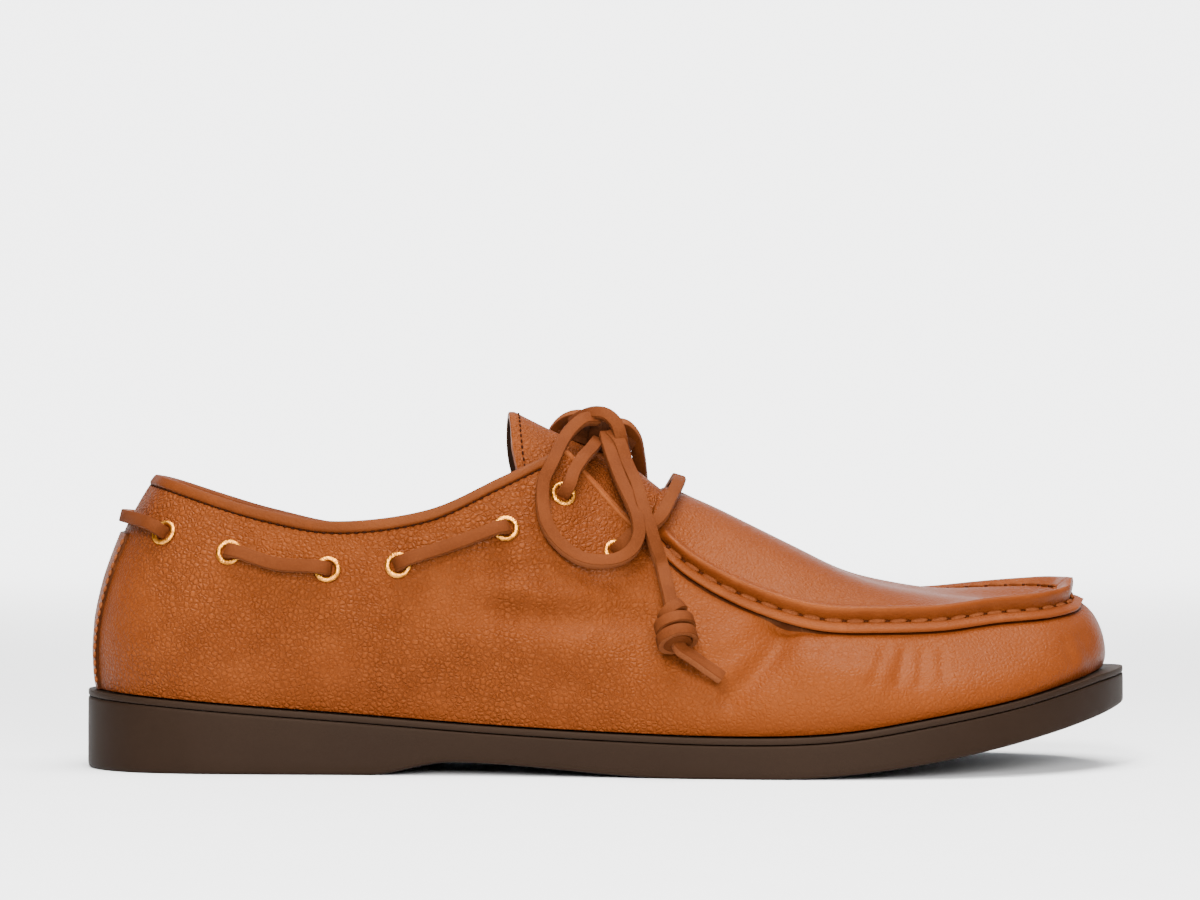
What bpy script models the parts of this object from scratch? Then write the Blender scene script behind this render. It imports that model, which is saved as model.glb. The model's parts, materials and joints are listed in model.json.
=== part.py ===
"""Right boat shoe, EU 42: hand-sewn moccasin upper, rawhide lace and rubber sole.

Metres. +X points to the toe, +Y to the big-toe side, +Z up. The origin is on the floor under the
middle of the shoe's length and ball width.
"""
import math

import bmesh
import bpy
import numpy as np
from mathutils import Matrix, Vector

MM = 0.001
UP = Vector((0.0, 0.0, 1.0))
LATERAL = -1
MEDIAL = 1

# Sole
LENGTH = 296 * MM
BALL_WIDTH = 107 * MM
HEEL_EDGE = 22.5 * MM          # top edge of the sole above the floor, at the heel
TOE_SPRING = 18.3 * MM         # underside of the toe tip above the floor
ARCH_RISE = 3.7 * MM
SOLE_ROUNDING = 2.6 * MM
MIDSOLE = 1.7 * MM
MIDSOLE_INSET = 0.6 * MM
GROOVE_DEPTH = 1.3 * MM
GROOVE_WIDTH = 2.4 * MM
GROOVE_MARGIN = 9.0 * MM
GAP = 0.3 * MM

# Upper
COLLAR_HEIGHT = 60.5 * MM      # collar above the sole's edge, at the heel
WALL = 2.0 * MM
TOE_WELT = 6.0 * MM            # sole showing past the upper at the toe
SIDE_WELT = 2.2 * MM
HEEL_WELT = 3.2 * MM
FLANGE_STEP = 1.4 * MM
SEAM_WIDTH = 8.3 * MM          # raw edge of the flange to the foot of the rolled seam
ROLL_HEIGHT = 4.0 * MM
STAY_WIDTH = 18.0 * MM
STAY_STEP = 1.0 * MM
BINDING_HEIGHT = 3.6 * MM
BINDING_PROUD = 0.6 * MM
TONGUE_THICKNESS = 2.0 * MM
INSOLE_THICKNESS = 2.0 * MM

# Eyelets and lace
EYELET_WIDTH = 7.5 * MM
EYELET_HOLE = 4.3 * MM
EYELET_TUBE = 0.4 * MM
EYELET_RIM = 0.8 * MM
EYELET_SEAT = 0.5 * MM
LACE_WIDTH = 3.6 * MM
LACE_THICKNESS = 2.5 * MM
KNOT_LENGTH = 11.0 * MM
KNOT_WIDTH = 11.5 * MM
KNOT_HEIGHT = 12.6 * MM
STOPPER_WIDTH = 10.4 * MM

# Sampling of the curved pieces
SIDE_STEPS = 38
WALL_STEPS = 6
CREST_STEPS = 4
EYELET_SIDES = 10
TONGUE_STEPS = 8
TONGUE_SPANS = 12
LACE_STEP = 3.8 * MM

# Sole outline, heel to toe: share of LENGTH, then shares of half of BALL_WIDTH on each side
OUTLINE = (
    # along, lateral, medial
    (0.013, 0.290, 0.290),
    (0.045, 0.490, 0.490),
    (0.100, 0.605, 0.600),
    (0.180, 0.655, 0.635),
    (0.280, 0.690, 0.610),
    (0.380, 0.745, 0.590),
    (0.480, 0.835, 0.645),
    (0.580, 0.935, 0.800),
    (0.660, 0.990, 0.920),
    (0.730, 1.000, 0.985),
    (0.790, 0.970, 1.000),
    (0.850, 0.875, 0.960),
    (0.905, 0.715, 0.860),
    (0.950, 0.500, 0.700),
    (0.982, 0.240, 0.480),
)
TOE_TIP = 0.11                 # share of half of BALL_WIDTH, to the big-toe side

# Top edge of the sole: share of LENGTH, share of HEEL_EDGE
SOLE_EDGE = (
    # along, height
    (0.00, 1.00),
    (0.05, 0.955),
    (0.15, 0.850),
    (0.25, 0.755),
    (0.40, 0.612),
    (0.55, 0.525),
    (0.65, 0.512),
    (0.72, 0.565),
    (0.80, 0.735),
    (0.88, 0.930),
    (0.94, 1.120),
    (0.97, 1.215),
    (1.00, 1.275),
)
TREAD_GROOVES = (0.060, 0.110, 0.160, 0.210, 0.600, 0.650, 0.700, 0.750, 0.800, 0.850)
HEEL_END = 0.275               # shares of LENGTH where the underside leaves and meets the floor
ARCH_TOP = 0.353
ARCH_END = 0.570
SPRING_START = 0.655
SPRING_CURVE = 1.64

# Side of the rubber sole, bottom to top: share of its height, inset as a share of SOLE_ROUNDING
SOLE_SIDE = (
    # height, inset
    (0.00, 1.00),
    (0.07, 0.35),
    (0.22, 0.00),
    (0.80, 0.04),
    (0.88, 0.15),
    (0.93, 0.50),
    (1.00, 0.50),
)

# Ribs of the last, heel to toe. Each rib rises from the sole's edge to the top line of the wall:
# collar, then front edge of the facing, then raw edge of the apron seam.
LAST_COLUMNS = (
    "around",       # share of the way round the sole's edge, heel to toe
    "along",        # top of the rib, share of LENGTH
    "lateral_out",  # top of the rib on each side, share of BALL_WIDTH from the middle
    "medial_out",
    "lateral_up",   # top of the rib above the sole's edge, share of COLLAR_HEIGHT
    "medial_up",
    "tilt",         # slope of the wall at its top, degrees
    "reach",        # length of that slope, share of the rib's height
    "swell",        # how far the foot of the wall leans out, share of COLLAR_HEIGHT
)
LAST = (
    (0.000, 0.0666, 0.000, 0.000, 1.000, 1.000, 53, 0.34, 0.0711),
    (0.070, 0.0840, 0.098, 0.098, 0.986, 0.984, 55, 0.34, 0.0711),
    (0.130, 0.1216, 0.173, 0.173, 0.946, 0.940, 60, 0.35, 0.0744),
    (0.195, 0.1770, 0.234, 0.234, 0.899, 0.885, 66, 0.35, 0.0760),
    (0.267, 0.2466, 0.280, 0.276, 0.876, 0.848, 69, 0.35, 0.0744),
    (0.340, 0.3310, 0.290, 0.285, 0.960, 0.925, 68, 0.35, 0.0744),
    (0.398, 0.3986, 0.258, 0.258, 1.130, 1.105, 66, 0.36, 0.0711),
    (0.440, 0.4460, 0.214, 0.214, 1.250, 1.235, 63, 0.38, 0.0661),
    (0.463, 0.4610, 0.194, 0.194, 1.262, 1.250, 62, 0.38, 0.0661),
    (0.485, 0.4850, 0.198, 0.198, 1.137, 1.128, 61, 0.40, 0.0694),
    (0.510, 0.5135, 0.215, 0.215, 0.985, 0.990, 60, 0.40, 0.0744),
    (0.532, 0.5405, 0.243, 0.243, 0.873, 0.893, 60, 0.40, 0.0826),
    (0.558, 0.5726, 0.285, 0.290, 0.722, 0.763, 59, 0.42, 0.0826),
    (0.600, 0.6216, 0.327, 0.336, 0.585, 0.634, 57, 0.44, 0.0826),
    (0.660, 0.6890, 0.355, 0.374, 0.463, 0.521, 55, 0.46, 0.0744),
    (0.718, 0.7530, 0.346, 0.379, 0.400, 0.458, 52, 0.46, 0.0661),
    (0.777, 0.8110, 0.304, 0.355, 0.348, 0.402, 48, 0.46, 0.0595),
    (0.835, 0.8630, 0.234, 0.304, 0.318, 0.368, 43, 0.46, 0.0529),
    (0.893, 0.9150, 0.168, 0.252, 0.280, 0.328, 38, 0.45, 0.0496),
    (0.948, 0.9480, 0.068, 0.158, 0.272, 0.304, 33, 0.42, 0.0463),
    (1.000, 0.9600, -0.042, 0.042, 0.300, 0.300, 30, 0.36, 0.0430),
)
BINDING_END = 7.35             # places on the top line, counted in ribs
FACING_TOP = 8
THROAT_RIB = 11
TOE_RIB = 20
LOW_HANDLE = 0.30              # share of the rib's height where the foot of the wall swells out
STAY_TOP = 0.70                # share of the rib where the heel stay ends

# Middle line of the apron from the throat to the toe, one row for each rib from THROAT_RIB on
CREST_COLUMNS = ("along", "medial", "up", "tilt")
CREST = (
    (0.5630, 0.000, 1.117, 46),
    (0.5830, 0.000, 1.073, 47),
    (0.6150, 0.005, 1.003, 46),
    (0.6820, 0.009, 0.834, 42),
    (0.7430, 0.014, 0.660, 30),
    (0.7940, 0.019, 0.560, 16),
    (0.8345, 0.028, 0.495, 6),
    (0.8650, 0.037, 0.455, 1),
    (0.8890, 0.042, 0.434, -4),
    (0.9050, 0.044, 0.425, -6),
)

# Hand-sewn seam, raw edge to inner foot: share of SEAM_WIDTH along the wall, then how proud it is
SEAM = (
    # along, flange share, roll share
    (0.00, 1.00, 0.00),
    (0.36, 1.00, 0.00),
    (0.43, 0.45, 0.00),
    (0.46, 0.45, 0.32),
    (0.55, 0.00, 0.84),
    (0.70, 0.00, 1.00),
    (0.85, 0.00, 0.84),
    (0.95, 0.00, 0.46),
    (1.00, 0.00, 0.10),
)
SEAM_START = 0.9               # ribs over which the seam grows from the throat corner

# Eyelets: share of LENGTH, share of COLLAR_HEIGHT above the lowest edge of the sole
EYELETS = (
    ("collar_1", 0.0800, 0.912),
    ("collar_2", 0.1440, 0.825),
    ("collar_3", 0.2380, 0.750),
    ("collar_4", 0.3045, 0.770),
    ("collar_5", 0.4050, 0.937),
    ("throat_upper", 0.4585, 1.093),
    ("throat_lower", 0.5090, 0.829),
)

# Tongue, root to top: share of LENGTH, share of COLLAR_HEIGHT above the lowest edge of the sole
TONGUE_LINE = (
    # along, up
    (0.5810, 1.012),
    (0.5640, 1.064),
    (0.5470, 1.132),
    (0.5270, 1.205),
    (0.5000, 1.272),
    (0.4660, 1.345),
    (0.4360, 1.415),
    (0.4105, 1.478),
)
TONGUE_HALF = 0.2523 * BALL_WIDTH
TONGUE_TOP_HALF = 0.1963 * BALL_WIDTH
TONGUE_DROP = 0.4876 * COLLAR_HEIGHT
TONGUE_CURVE = 1.9
TONGUE_ROUNDING = 2.5 * MM
TONGUE_LEAN = 3.4 * MM         # how much further back the big-toe side of its top reaches

LOWEST_EDGE = min(row[1] for row in SOLE_EDGE) * HEEL_EDGE

# Lace routes on the lateral side: share of LENGTH, share of half of BALL_WIDTH outwards, then share
# of COLLAR_HEIGHT above the lowest edge of the sole. The other side mirrors them.
STRAND_ROUTE = (
    (0.4682, 0.4785, 1.1914), (0.4757, 0.4224, 1.2509), (0.4838, 0.2766, 1.2939), (0.4912, 0.1121, 1.3402),
)
BAR_ROUTE = (
    (0.5230, 0.5495, 0.9071), (0.5372, 0.5234, 0.9336), (0.5493, 0.5047, 0.9831), (0.5581, 0.3963, 1.0526),
    (0.5649, 0.2299, 1.1137), (0.5686, 0.0935, 1.1451),
)
BAR_MIDDLE = (0.5696, 0.0000, 1.1517)
BAR_MEDIAL_RISE = 1.0 * MM
HEEL_LACE_SHARE = 0.775          # share of the heel's rib where the heel lace lies
HEEL_LACE_OFF = 0.7 * MM
HEEL_LACE_TURN = Vector((2.8, -9.0, -0.4)) * MM
LOOP_ROUTE = (
    (0.4912, 0.0991, 1.4509), (0.4784, 0.1570, 1.4559), (0.4669, 0.2467, 1.4162), (0.4574, 0.3551, 1.3567),
    (0.4500, 0.4673, 1.2906), (0.4453, 0.5196, 1.2311), (0.4422, 0.5570, 1.1550), (0.4399, 0.5981, 1.0625),
    (0.4426, 0.6393, 0.9683), (0.4514, 0.6692, 0.8906), (0.4662, 0.6841, 0.8261), (0.4801, 0.6879, 0.7947),
    (0.4959, 0.6804, 0.7864), (0.5118, 0.6692, 0.7997), (0.5233, 0.6579, 0.8393), (0.5291, 0.6355, 0.8988),
    (0.5294, 0.5944, 0.9699), (0.5267, 0.5084, 1.0426), (0.5213, 0.4112, 1.1302), (0.5149, 0.2804, 1.2344),
    (0.5088, 0.1720, 1.3038), (0.5054, 0.1121, 1.3336),
)
END_ROUTE = (
    (0.5172, 0.0598, 1.3831), (0.5247, 0.1308, 1.3402), (0.5304, 0.2355, 1.2641), (0.5358, 0.3364, 1.1749),
    (0.5409, 0.4860, 1.0790), (0.5453, 0.6019, 0.9864), (0.5476, 0.6206, 0.8807), (0.5507, 0.6093, 0.7815),
    (0.5544, 0.6879, 0.6955), (0.5591, 0.7981, 0.5914),
)
STOPPER_ROUTE = (
    (0.5595, 0.8075, 0.5798), (0.5655, 0.9346, 0.4046),
)
TAIL_ROUTE = (
    (0.5666, 0.9570, 0.3749), (0.5716, 0.9589, 0.3517), (0.5818, 0.9346, 0.3286), (0.5939, 0.9234, 0.3055),
    (0.6074, 0.9383, 0.2724),
)
# Way of a lace out of an eyelet: up from the leather and along it, shares of LACE_THICKNESS
EYELET_TURN = ((-0.40, 0.0), (0.24, 0.02), (0.84, 0.24), (1.24, 0.88), (1.28, 1.68))
LOOP_FACE = Vector((0.15, -0.80, 0.58))
STEEP_INSET = 2.4 * MM          # how much further in the laces lie on the steeper big-toe side
STEEP_TOP = 0.669
STEEP_SPAN = 0.198
KNOT_PLACE = (0.4993, 0.0000, 1.3931)


def clear_scene():
    for item in list(bpy.data.objects):
        bpy.data.objects.remove(item, do_unlink=True)


def collection(name):
    made = bpy.data.collections.new(name)
    bpy.context.scene.collection.children.link(made)
    return made


def material(name, colour, roughness, metallic=0.0):
    made = bpy.data.materials.new(name)
    made.use_nodes = True
    shader = made.node_tree.nodes["Principled BSDF"]
    shader.inputs["Base Color"].default_value = (*colour, 1.0)
    shader.inputs["Roughness"].default_value = roughness
    shader.inputs["Metallic"].default_value = metallic
    return made


def object_from_bmesh(name, bm, finish, where):
    mesh = bpy.data.meshes.new(name)
    bm.to_mesh(mesh)
    bm.free()
    mesh.materials.append(finish)
    mesh.shade_smooth()
    mesh.set_sharp_from_angle(angle=math.radians(35))
    made = bpy.data.objects.new(name, mesh)
    where.objects.link(made)
    return made


def smooth_step(value):
    value = min(max(value, 0.0), 1.0)
    return value * value * (3.0 - 2.0 * value)


def curve_value(keys, values, key):
    """Smooth curve through (key, value) pairs, with slopes from the neighbours."""
    keys = list(keys)
    key = min(max(key, keys[0]), keys[-1])
    place = 0
    while place < len(keys) - 2 and key > keys[place + 1]:
        place += 1
    span = keys[place + 1] - keys[place]
    share = (key - keys[place]) / span

    def slope(at):
        low = max(at - 1, 0)
        high = min(at + 1, len(keys) - 1)
        return (values[high] - values[low]) / (keys[high] - keys[low])

    a = values[place]
    b = values[place + 1]
    start = slope(place) * span
    end = slope(place + 1) * span
    cube = share ** 3
    square = share ** 2
    return (
        (2 * cube - 3 * square + 1) * a
        + (cube - 2 * square + share) * start
        + (3 * square - 2 * cube) * b
        + (cube - square) * end
    )


def smooth_path(points, spacing, closed=False):
    """Points about spacing apart on a smooth curve through the given ones."""
    points = [Vector(point) for point in points]
    count = len(points)
    if closed:
        ring = [points[-1]] + points + points[:2]
        spans = count
    else:
        ring = [2 * points[0] - points[1]] + points + [2 * points[-1] - points[-2]]
        spans = count - 1
    fine = []
    for span in range(spans):
        a, b, c, d = ring[span:span + 4]
        knots = [0.0]
        for first, second in ((a, b), (b, c), (c, d)):
            knots.append(knots[-1] + max((second - first).length, 1e-6) ** 0.5)
        steps = max(4, round((c - b).length / spacing * 4))
        for step in range(steps):
            t = knots[1] + (knots[2] - knots[1]) * step / steps
            ab = a.lerp(b, (t - knots[0]) / (knots[1] - knots[0]))
            bc = b.lerp(c, (t - knots[1]) / (knots[2] - knots[1]))
            cd = c.lerp(d, (t - knots[2]) / (knots[3] - knots[2]))
            abc = ab.lerp(bc, (t - knots[0]) / (knots[2] - knots[0]))
            bcd = bc.lerp(cd, (t - knots[1]) / (knots[3] - knots[1]))
            fine.append(abc.lerp(bcd, (t - knots[1]) / (knots[2] - knots[1])))
    fine.append(points[0] if closed else points[-1])
    return fine


def spaced(points, count):
    """count + 1 points at even distances along a run of points."""
    lengths = [0.0]
    for first, second in zip(points, points[1:]):
        lengths.append(lengths[-1] + (second - first).length)
    wanted = np.linspace(0.0, lengths[-1], count + 1)
    columns = [np.interp(wanted, lengths, [point[axis] for point in points]) for axis in range(3)]
    return [Vector(values) for values in zip(*columns)]


# Sole shape

def sole_edge(x):
    """Height of the sole's top edge."""
    along = x / LENGTH + 0.5
    return HEEL_EDGE * curve_value([row[0] for row in SOLE_EDGE], [row[1] for row in SOLE_EDGE], along)


def underside(x):
    """Height of the sole's underside: flat heel, arch, flat ball, toe spring."""
    along = x / LENGTH + 0.5
    if HEEL_END < along < ARCH_END:
        rise = smooth_step((along - HEEL_END) / (ARCH_TOP - HEEL_END))
        fall = smooth_step((ARCH_END - along) / (ARCH_END - ARCH_TOP))
        return ARCH_RISE * min(rise, fall)
    if along > SPRING_START:
        share = (along - SPRING_START) / (1.0 - SPRING_START)
        return TOE_SPRING * min(share, 1.1) ** SPRING_CURVE
    return 0.0


def outline_sides():
    """The two sides of the sole's outline as even runs of points from heel tip to toe tip."""
    half = BALL_WIDTH / 2
    heel = Vector((-LENGTH / 2, 0.0, 0.0))
    toe = Vector((LENGTH / 2, TOE_TIP * half, 0.0))
    lateral = [Vector(((row[0] - 0.5) * LENGTH, -row[1] * half, 0.0)) for row in OUTLINE]
    medial = [Vector(((row[0] - 0.5) * LENGTH, row[2] * half, 0.0)) for row in OUTLINE]
    loop = smooth_path([heel] + lateral + [toe] + medial[::-1], 2 * MM, closed=True)
    tip = min(range(len(loop)), key=lambda place: (loop[place] - toe).length)
    return {LATERAL: spaced(loop[:tip + 1], 600), MEDIAL: spaced(loop[tip:][::-1], 600)}


SIDES = outline_sides()


def edge_point(side, around, inset=0.0):
    """Point on the sole's outline moved in by inset, and the outline's outward direction there."""
    run = SIDES[side]
    place = min(max(around, 0.0), 1.0) * (len(run) - 1)
    low = min(int(place), len(run) - 2)
    point = run[low].lerp(run[low + 1], place - low)
    before = run[max(low - 4, 0)]
    after = run[min(low + 5, len(run) - 1)]
    if low < 4:
        before = Vector((run[5].x, -run[5].y, 0.0)) if around < 1e-6 else run[0]
    direction = (after - before).normalized()
    out = Vector((direction.y, -direction.x, 0.0)) * (-side)
    if around < 1e-6:
        out = Vector((-1.0, 0.0, 0.0))
    if around > 1.0 - 1e-6:
        out = Vector((1.0, 0.0, 0.0))
    return point - out * inset, out


def ring_places(steps):
    """Places round the shoe: heel, lateral side, toe, medial side."""
    lateral = [(LATERAL, step / steps) for step in range(steps + 1)]
    medial = [(MEDIAL, step / steps) for step in range(steps - 1, 0, -1)]
    return lateral + medial


def crowded(share):
    """Share of the way round, with more places at the heel and the toe."""
    return share - 0.075 * math.sin(2 * math.pi * share)


def plate(bm, levels, steps):
    """Solid between rings of the outline. Each level is a function of a place on the outline."""
    places = [(side, crowded(share)) for side, share in ring_places(steps)]
    rings = [[bm.verts.new(level(side, around)) for side, around in places] for level in levels]
    count = len(places)
    for low, high in zip(rings, rings[1:]):
        for place in range(count):
            after = (place + 1) % count
            bm.faces.new((low[place], low[after], high[after], high[place]))
    for ring, flip in ((rings[0], True), (rings[-1], False)):
        for step in range(steps):
            quad = [ring[step], ring[step + 1], ring[(count - step - 1) % count], ring[(count - step) % count]]
            corners = list(dict.fromkeys(quad))
            bm.faces.new(corners[::-1] if flip else corners)


def outsole_level(height, inset):
    def level(side, around):
        point, _ = edge_point(side, around, inset * SOLE_ROUNDING)
        top = sole_edge(point.x) - MIDSOLE - 2 * GAP
        low = underside(point.x)
        return Vector((point.x, point.y, low + (top - low) * height))
    return level


def plate_level(inset, drop):
    def level(side, around):
        point, _ = edge_point(side, around, inset(around) if callable(inset) else inset)
        return Vector((point.x, point.y, sole_edge(point.x) + drop))
    return level


def build_sole(rubber, strip_rubber, where, cutters):
    bm = bmesh.new()
    plate(bm, [outsole_level(*row) for row in SOLE_SIDE], SIDE_STEPS)
    bmesh.ops.recalc_face_normals(bm, faces=bm.faces)
    outsole = object_from_bmesh("outsole", bm, rubber, where)
    for along in TREAD_GROOVES:
        cut(outsole, groove_cutter((along - 0.5) * LENGTH, cutters))
    bm = bmesh.new()
    levels = [plate_level(MIDSOLE_INSET, -MIDSOLE - GAP), plate_level(MIDSOLE_INSET, -GAP)]
    plate(bm, levels, SIDE_STEPS)
    bmesh.ops.recalc_face_normals(bm, faces=bm.faces)
    object_from_bmesh("midsole_strip", bm, strip_rubber, where)


def build_insole(finish, where):
    def inside(around):
        return welt(around) + WALL + 2 * GAP

    bm = bmesh.new()
    plate(bm, [plate_level(inside, GAP), plate_level(inside, GAP + INSOLE_THICKNESS)], SIDE_STEPS)
    bmesh.ops.recalc_face_normals(bm, faces=bm.faces)
    object_from_bmesh("insole", bm, finish, where)


def groove_cutter(x, where):
    """Channel across the tread, open downwards, short of the sole's sides."""
    half = min(abs(edge_at(side, x)) for side in (LATERAL, MEDIAL)) - GROOVE_MARGIN
    bm = bmesh.new()
    bmesh.ops.create_cube(bm, size=1.0)
    low = underside(x)
    for vert in bm.verts:
        vert.co.x = x + vert.co.x * GROOVE_WIDTH
        vert.co.y = vert.co.y * 2 * half
        vert.co.z = low + (GROOVE_DEPTH if vert.co.z > 0 else -4 * MM)
    return cutter_object("tread_groove", bm, where)


def edge_at(side, x):
    run = SIDES[side]
    return min(run, key=lambda point: abs(point.x - x)).y


def cutter_object(name, bm, where):
    mesh = bpy.data.meshes.new(name)
    bm.to_mesh(mesh)
    bm.free()
    made = bpy.data.objects.new(name, mesh)
    where.objects.link(made)
    made.hide_render = True
    made.display_type = "WIRE"
    return made


def cut(target, cutter):
    cutting = target.modifiers.new(cutter.name, "BOOLEAN")
    cutting.operation = "DIFFERENCE"
    cutting.solver = "EXACT"
    cutting.object = cutter


# Upper shape

def welt(around):
    """How far the upper stands in from the sole's outline."""
    toe = smooth_step((around - 0.80) / 0.20)
    heel = 1.0 - smooth_step(around / 0.12)
    return SIDE_WELT + (TOE_WELT - SIDE_WELT) * toe + (HEEL_WELT - SIDE_WELT) * heel


def last_value(name, rib):
    column = LAST_COLUMNS.index(name)
    return curve_value(range(len(LAST)), [row[column] for row in LAST], rib)


def crest_value(name, rib):
    column = CREST_COLUMNS.index(name)
    return curve_value(range(len(CREST)), [row[column] for row in CREST], rib - THROAT_RIB)


def crest_point(rib):
    x = (crest_value("along", rib) - 0.5) * LENGTH
    return Vector((x, crest_value("medial", rib) * BALL_WIDTH, sole_edge(x) + crest_value("up", rib) * COLLAR_HEIGHT))


class Rib:
    """One rib of the last: its foot, its top and the two handles of the wall's curve."""

    def __init__(self, side, rib):
        name = "lateral" if side == LATERAL else "medial"
        around = last_value("around", rib)
        foot, out = edge_point(side, around, welt(around))
        foot.z = sole_edge(foot.x) + GAP
        height = last_value(name + "_up", rib) * COLLAR_HEIGHT
        self.foot = foot
        self.top = Vector((
            (last_value("along", rib) - 0.5) * LENGTH,
            side * last_value(name + "_out", rib) * BALL_WIDTH,
            foot.z + height,
        ))
        self.out = out
        if rib > FACING_TOP:
            inward = crest_point(max(rib, THROAT_RIB)) - self.top
            inward.z = 0.0
            share = smooth_step((rib - FACING_TOP) / (THROAT_RIB - FACING_TOP))
            self.out = out.lerp(-inward.normalized(), share).normalized()
        tilt = math.radians(last_value("tilt", rib))
        self.reach = last_value("reach", rib) * height
        self.rise = UP * math.sin(tilt) - self.out * math.cos(tilt)
        self.face = UP * math.cos(tilt) + self.out * math.sin(tilt)
        self.low = foot + out * last_value("swell", rib) * COLLAR_HEIGHT + UP * LOW_HANDLE * height
        self.high = self.top - self.rise * self.reach

    def at(self, share):
        rest = 1.0 - share
        return (
            self.foot * rest ** 3
            + self.low * 3 * rest ** 2 * share
            + self.high * 3 * rest * share ** 2
            + self.top * share ** 3
        )


def wall_point(side, rib, share):
    return Rib(side, rib).at(share)


def wall_face(side, rib, share):
    """Outward direction of the wall."""
    step = 0.02
    along = wall_point(side, min(rib + step, TOE_RIB), share) - wall_point(side, max(rib - step, 0), share)
    if rib - step < 0:
        along = Vector((0.0, -1.0, 0.0)) if side == LATERAL else Vector((0.0, 1.0, 0.0))
    if rib + step > TOE_RIB:
        along = Vector((0.0, 1.0, 0.0)) if side == LATERAL else Vector((0.0, -1.0, 0.0))
    up = wall_point(side, rib, min(share + step, 1.0)) - wall_point(side, rib, max(share - step, 0.0))
    face = along.cross(up).normalized()
    return face if side == LATERAL else -face


def find_on_wall(side, x, z):
    """Rib and share of the wall point with this x and z."""
    best = (1e9, 0.0, 0.0)
    for rib in np.arange(0.0, TOE_RIB + 0.01, 0.25):
        for share in np.arange(0.05, 1.01, 0.05):
            point = wall_point(side, rib, share)
            best = min(best, (math.hypot(point.x - x, point.z - z), rib, share))
    step = 0.12
    while step > 0.002:
        _, rib, share = best
        for more in (-step, 0.0, step):
            for higher in (-step * 0.2, 0.0, step * 0.2):
                spot = (min(max(rib + more, 0.0), TOE_RIB), min(max(share + higher, 0.0), 1.0))
                point = wall_point(side, *spot)
                best = min(best, (math.hypot(point.x - x, point.z - z), *spot))
        step *= 0.7
    return best[1], best[2]


def top_share(rib, side):
    """Share of the rib where the leather ends: lower under the collar binding."""
    if rib > BINDING_END + 0.45:
        return 1.0
    slope = 3 * Rib(side, rib).reach
    return 1.0 - (BINDING_HEIGHT + GAP) / slope


def seam_points(side, rib):
    """Flange, stitch groove and roll of the hand-sewn seam, outer side."""
    frame = Rib(side, rib)
    growth = smooth_step((rib - THROAT_RIB) / SEAM_START)
    made = []
    for along, flange, roll in SEAM:
        proud = (flange * FLANGE_STEP + roll * ROLL_HEIGHT) * growth
        made.append(frame.top + frame.rise * along * SEAM_WIDTH + frame.face * proud)
    return made


def crest_run(side, rib, steps):
    """Apron from the foot of the seam to its middle line."""
    frame = Rib(side, rib)
    start = frame.top + frame.rise * SEAM_WIDTH
    end = crest_point(rib)
    flat = end - start
    flat.z = 0.0
    span = flat.length
    inward = flat.normalized()
    tilt = math.radians(crest_value("tilt", rib))
    low = start + (inward * math.cos(tilt) + UP * math.sin(tilt)) * 0.40 * (end - start).length
    high = end - inward * 0.45 * span
    made = []
    for step in range(1, steps + 1):
        share = step / steps
        rest = 1.0 - share
        made.append(start * rest ** 3 + low * 3 * rest ** 2 * share + high * 3 * rest * share ** 2 + end * share ** 3)
    return made


def rib_places():
    """Ribs at which the upper is drawn, with a close pair at each edge of the heel stay."""
    even = [TOE_RIB * crowded(step / SIDE_STEPS) for step in range(SIDE_STEPS + 1)]
    edge = stay_edge()
    kept = [rib for rib in even if abs(rib - edge) > 0.12 and abs(rib - THROAT_RIB) > 0.17]
    marks = [edge - 0.03, edge + 0.03, BINDING_END + 0.15, THROAT_RIB]
    kept = [rib for rib in kept if abs(rib - BINDING_END - 0.15) > 0.1]
    return sorted(kept + marks)


def stay_edge():
    """Rib at the edge of the heel stay."""
    rib = 0.0
    while abs(wall_point(LATERAL, rib, 0.5).y) < STAY_WIDTH / 2:
        rib += 0.01
    return rib


def wall_shares(rib, side):
    """Shares up the rib, with a close pair where the heel stay ends."""
    top = top_share(rib, side)
    low = [STAY_TOP * step / (WALL_STEPS - 2) for step in range(WALL_STEPS - 2)]
    return low + [STAY_TOP - 0.004, STAY_TOP + 0.004, (STAY_TOP + top) / 2, top]


def zip_faces(bm, first, second):
    """Triangles between two runs of vertices that may differ in number."""
    def shares(run):
        lengths = [0.0]
        for a, b in zip(run, run[1:]):
            lengths.append(lengths[-1] + max((b.co - a.co).length, 1e-9))
        return [length / lengths[-1] for length in lengths]

    along_first = shares(first)
    along_second = shares(second)
    i = 0
    j = 0
    while i < len(first) - 1 or j < len(second) - 1:
        go_first = j == len(second) - 1 or (i < len(first) - 1 and along_first[i + 1] <= along_second[j + 1])
        if go_first:
            bm.faces.new((first[i], first[i + 1], second[j]))
            i += 1
        else:
            bm.faces.new((first[i], second[j + 1], second[j]))
            j += 1


def strip(bm, first, second):
    """Quads between two runs of as many vertices."""
    for place in range(len(first) - 1):
        corners = list(dict.fromkeys((first[place], second[place], second[place + 1], first[place + 1])))
        if len(corners) > 2:
            bm.faces.new(corners)


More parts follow.
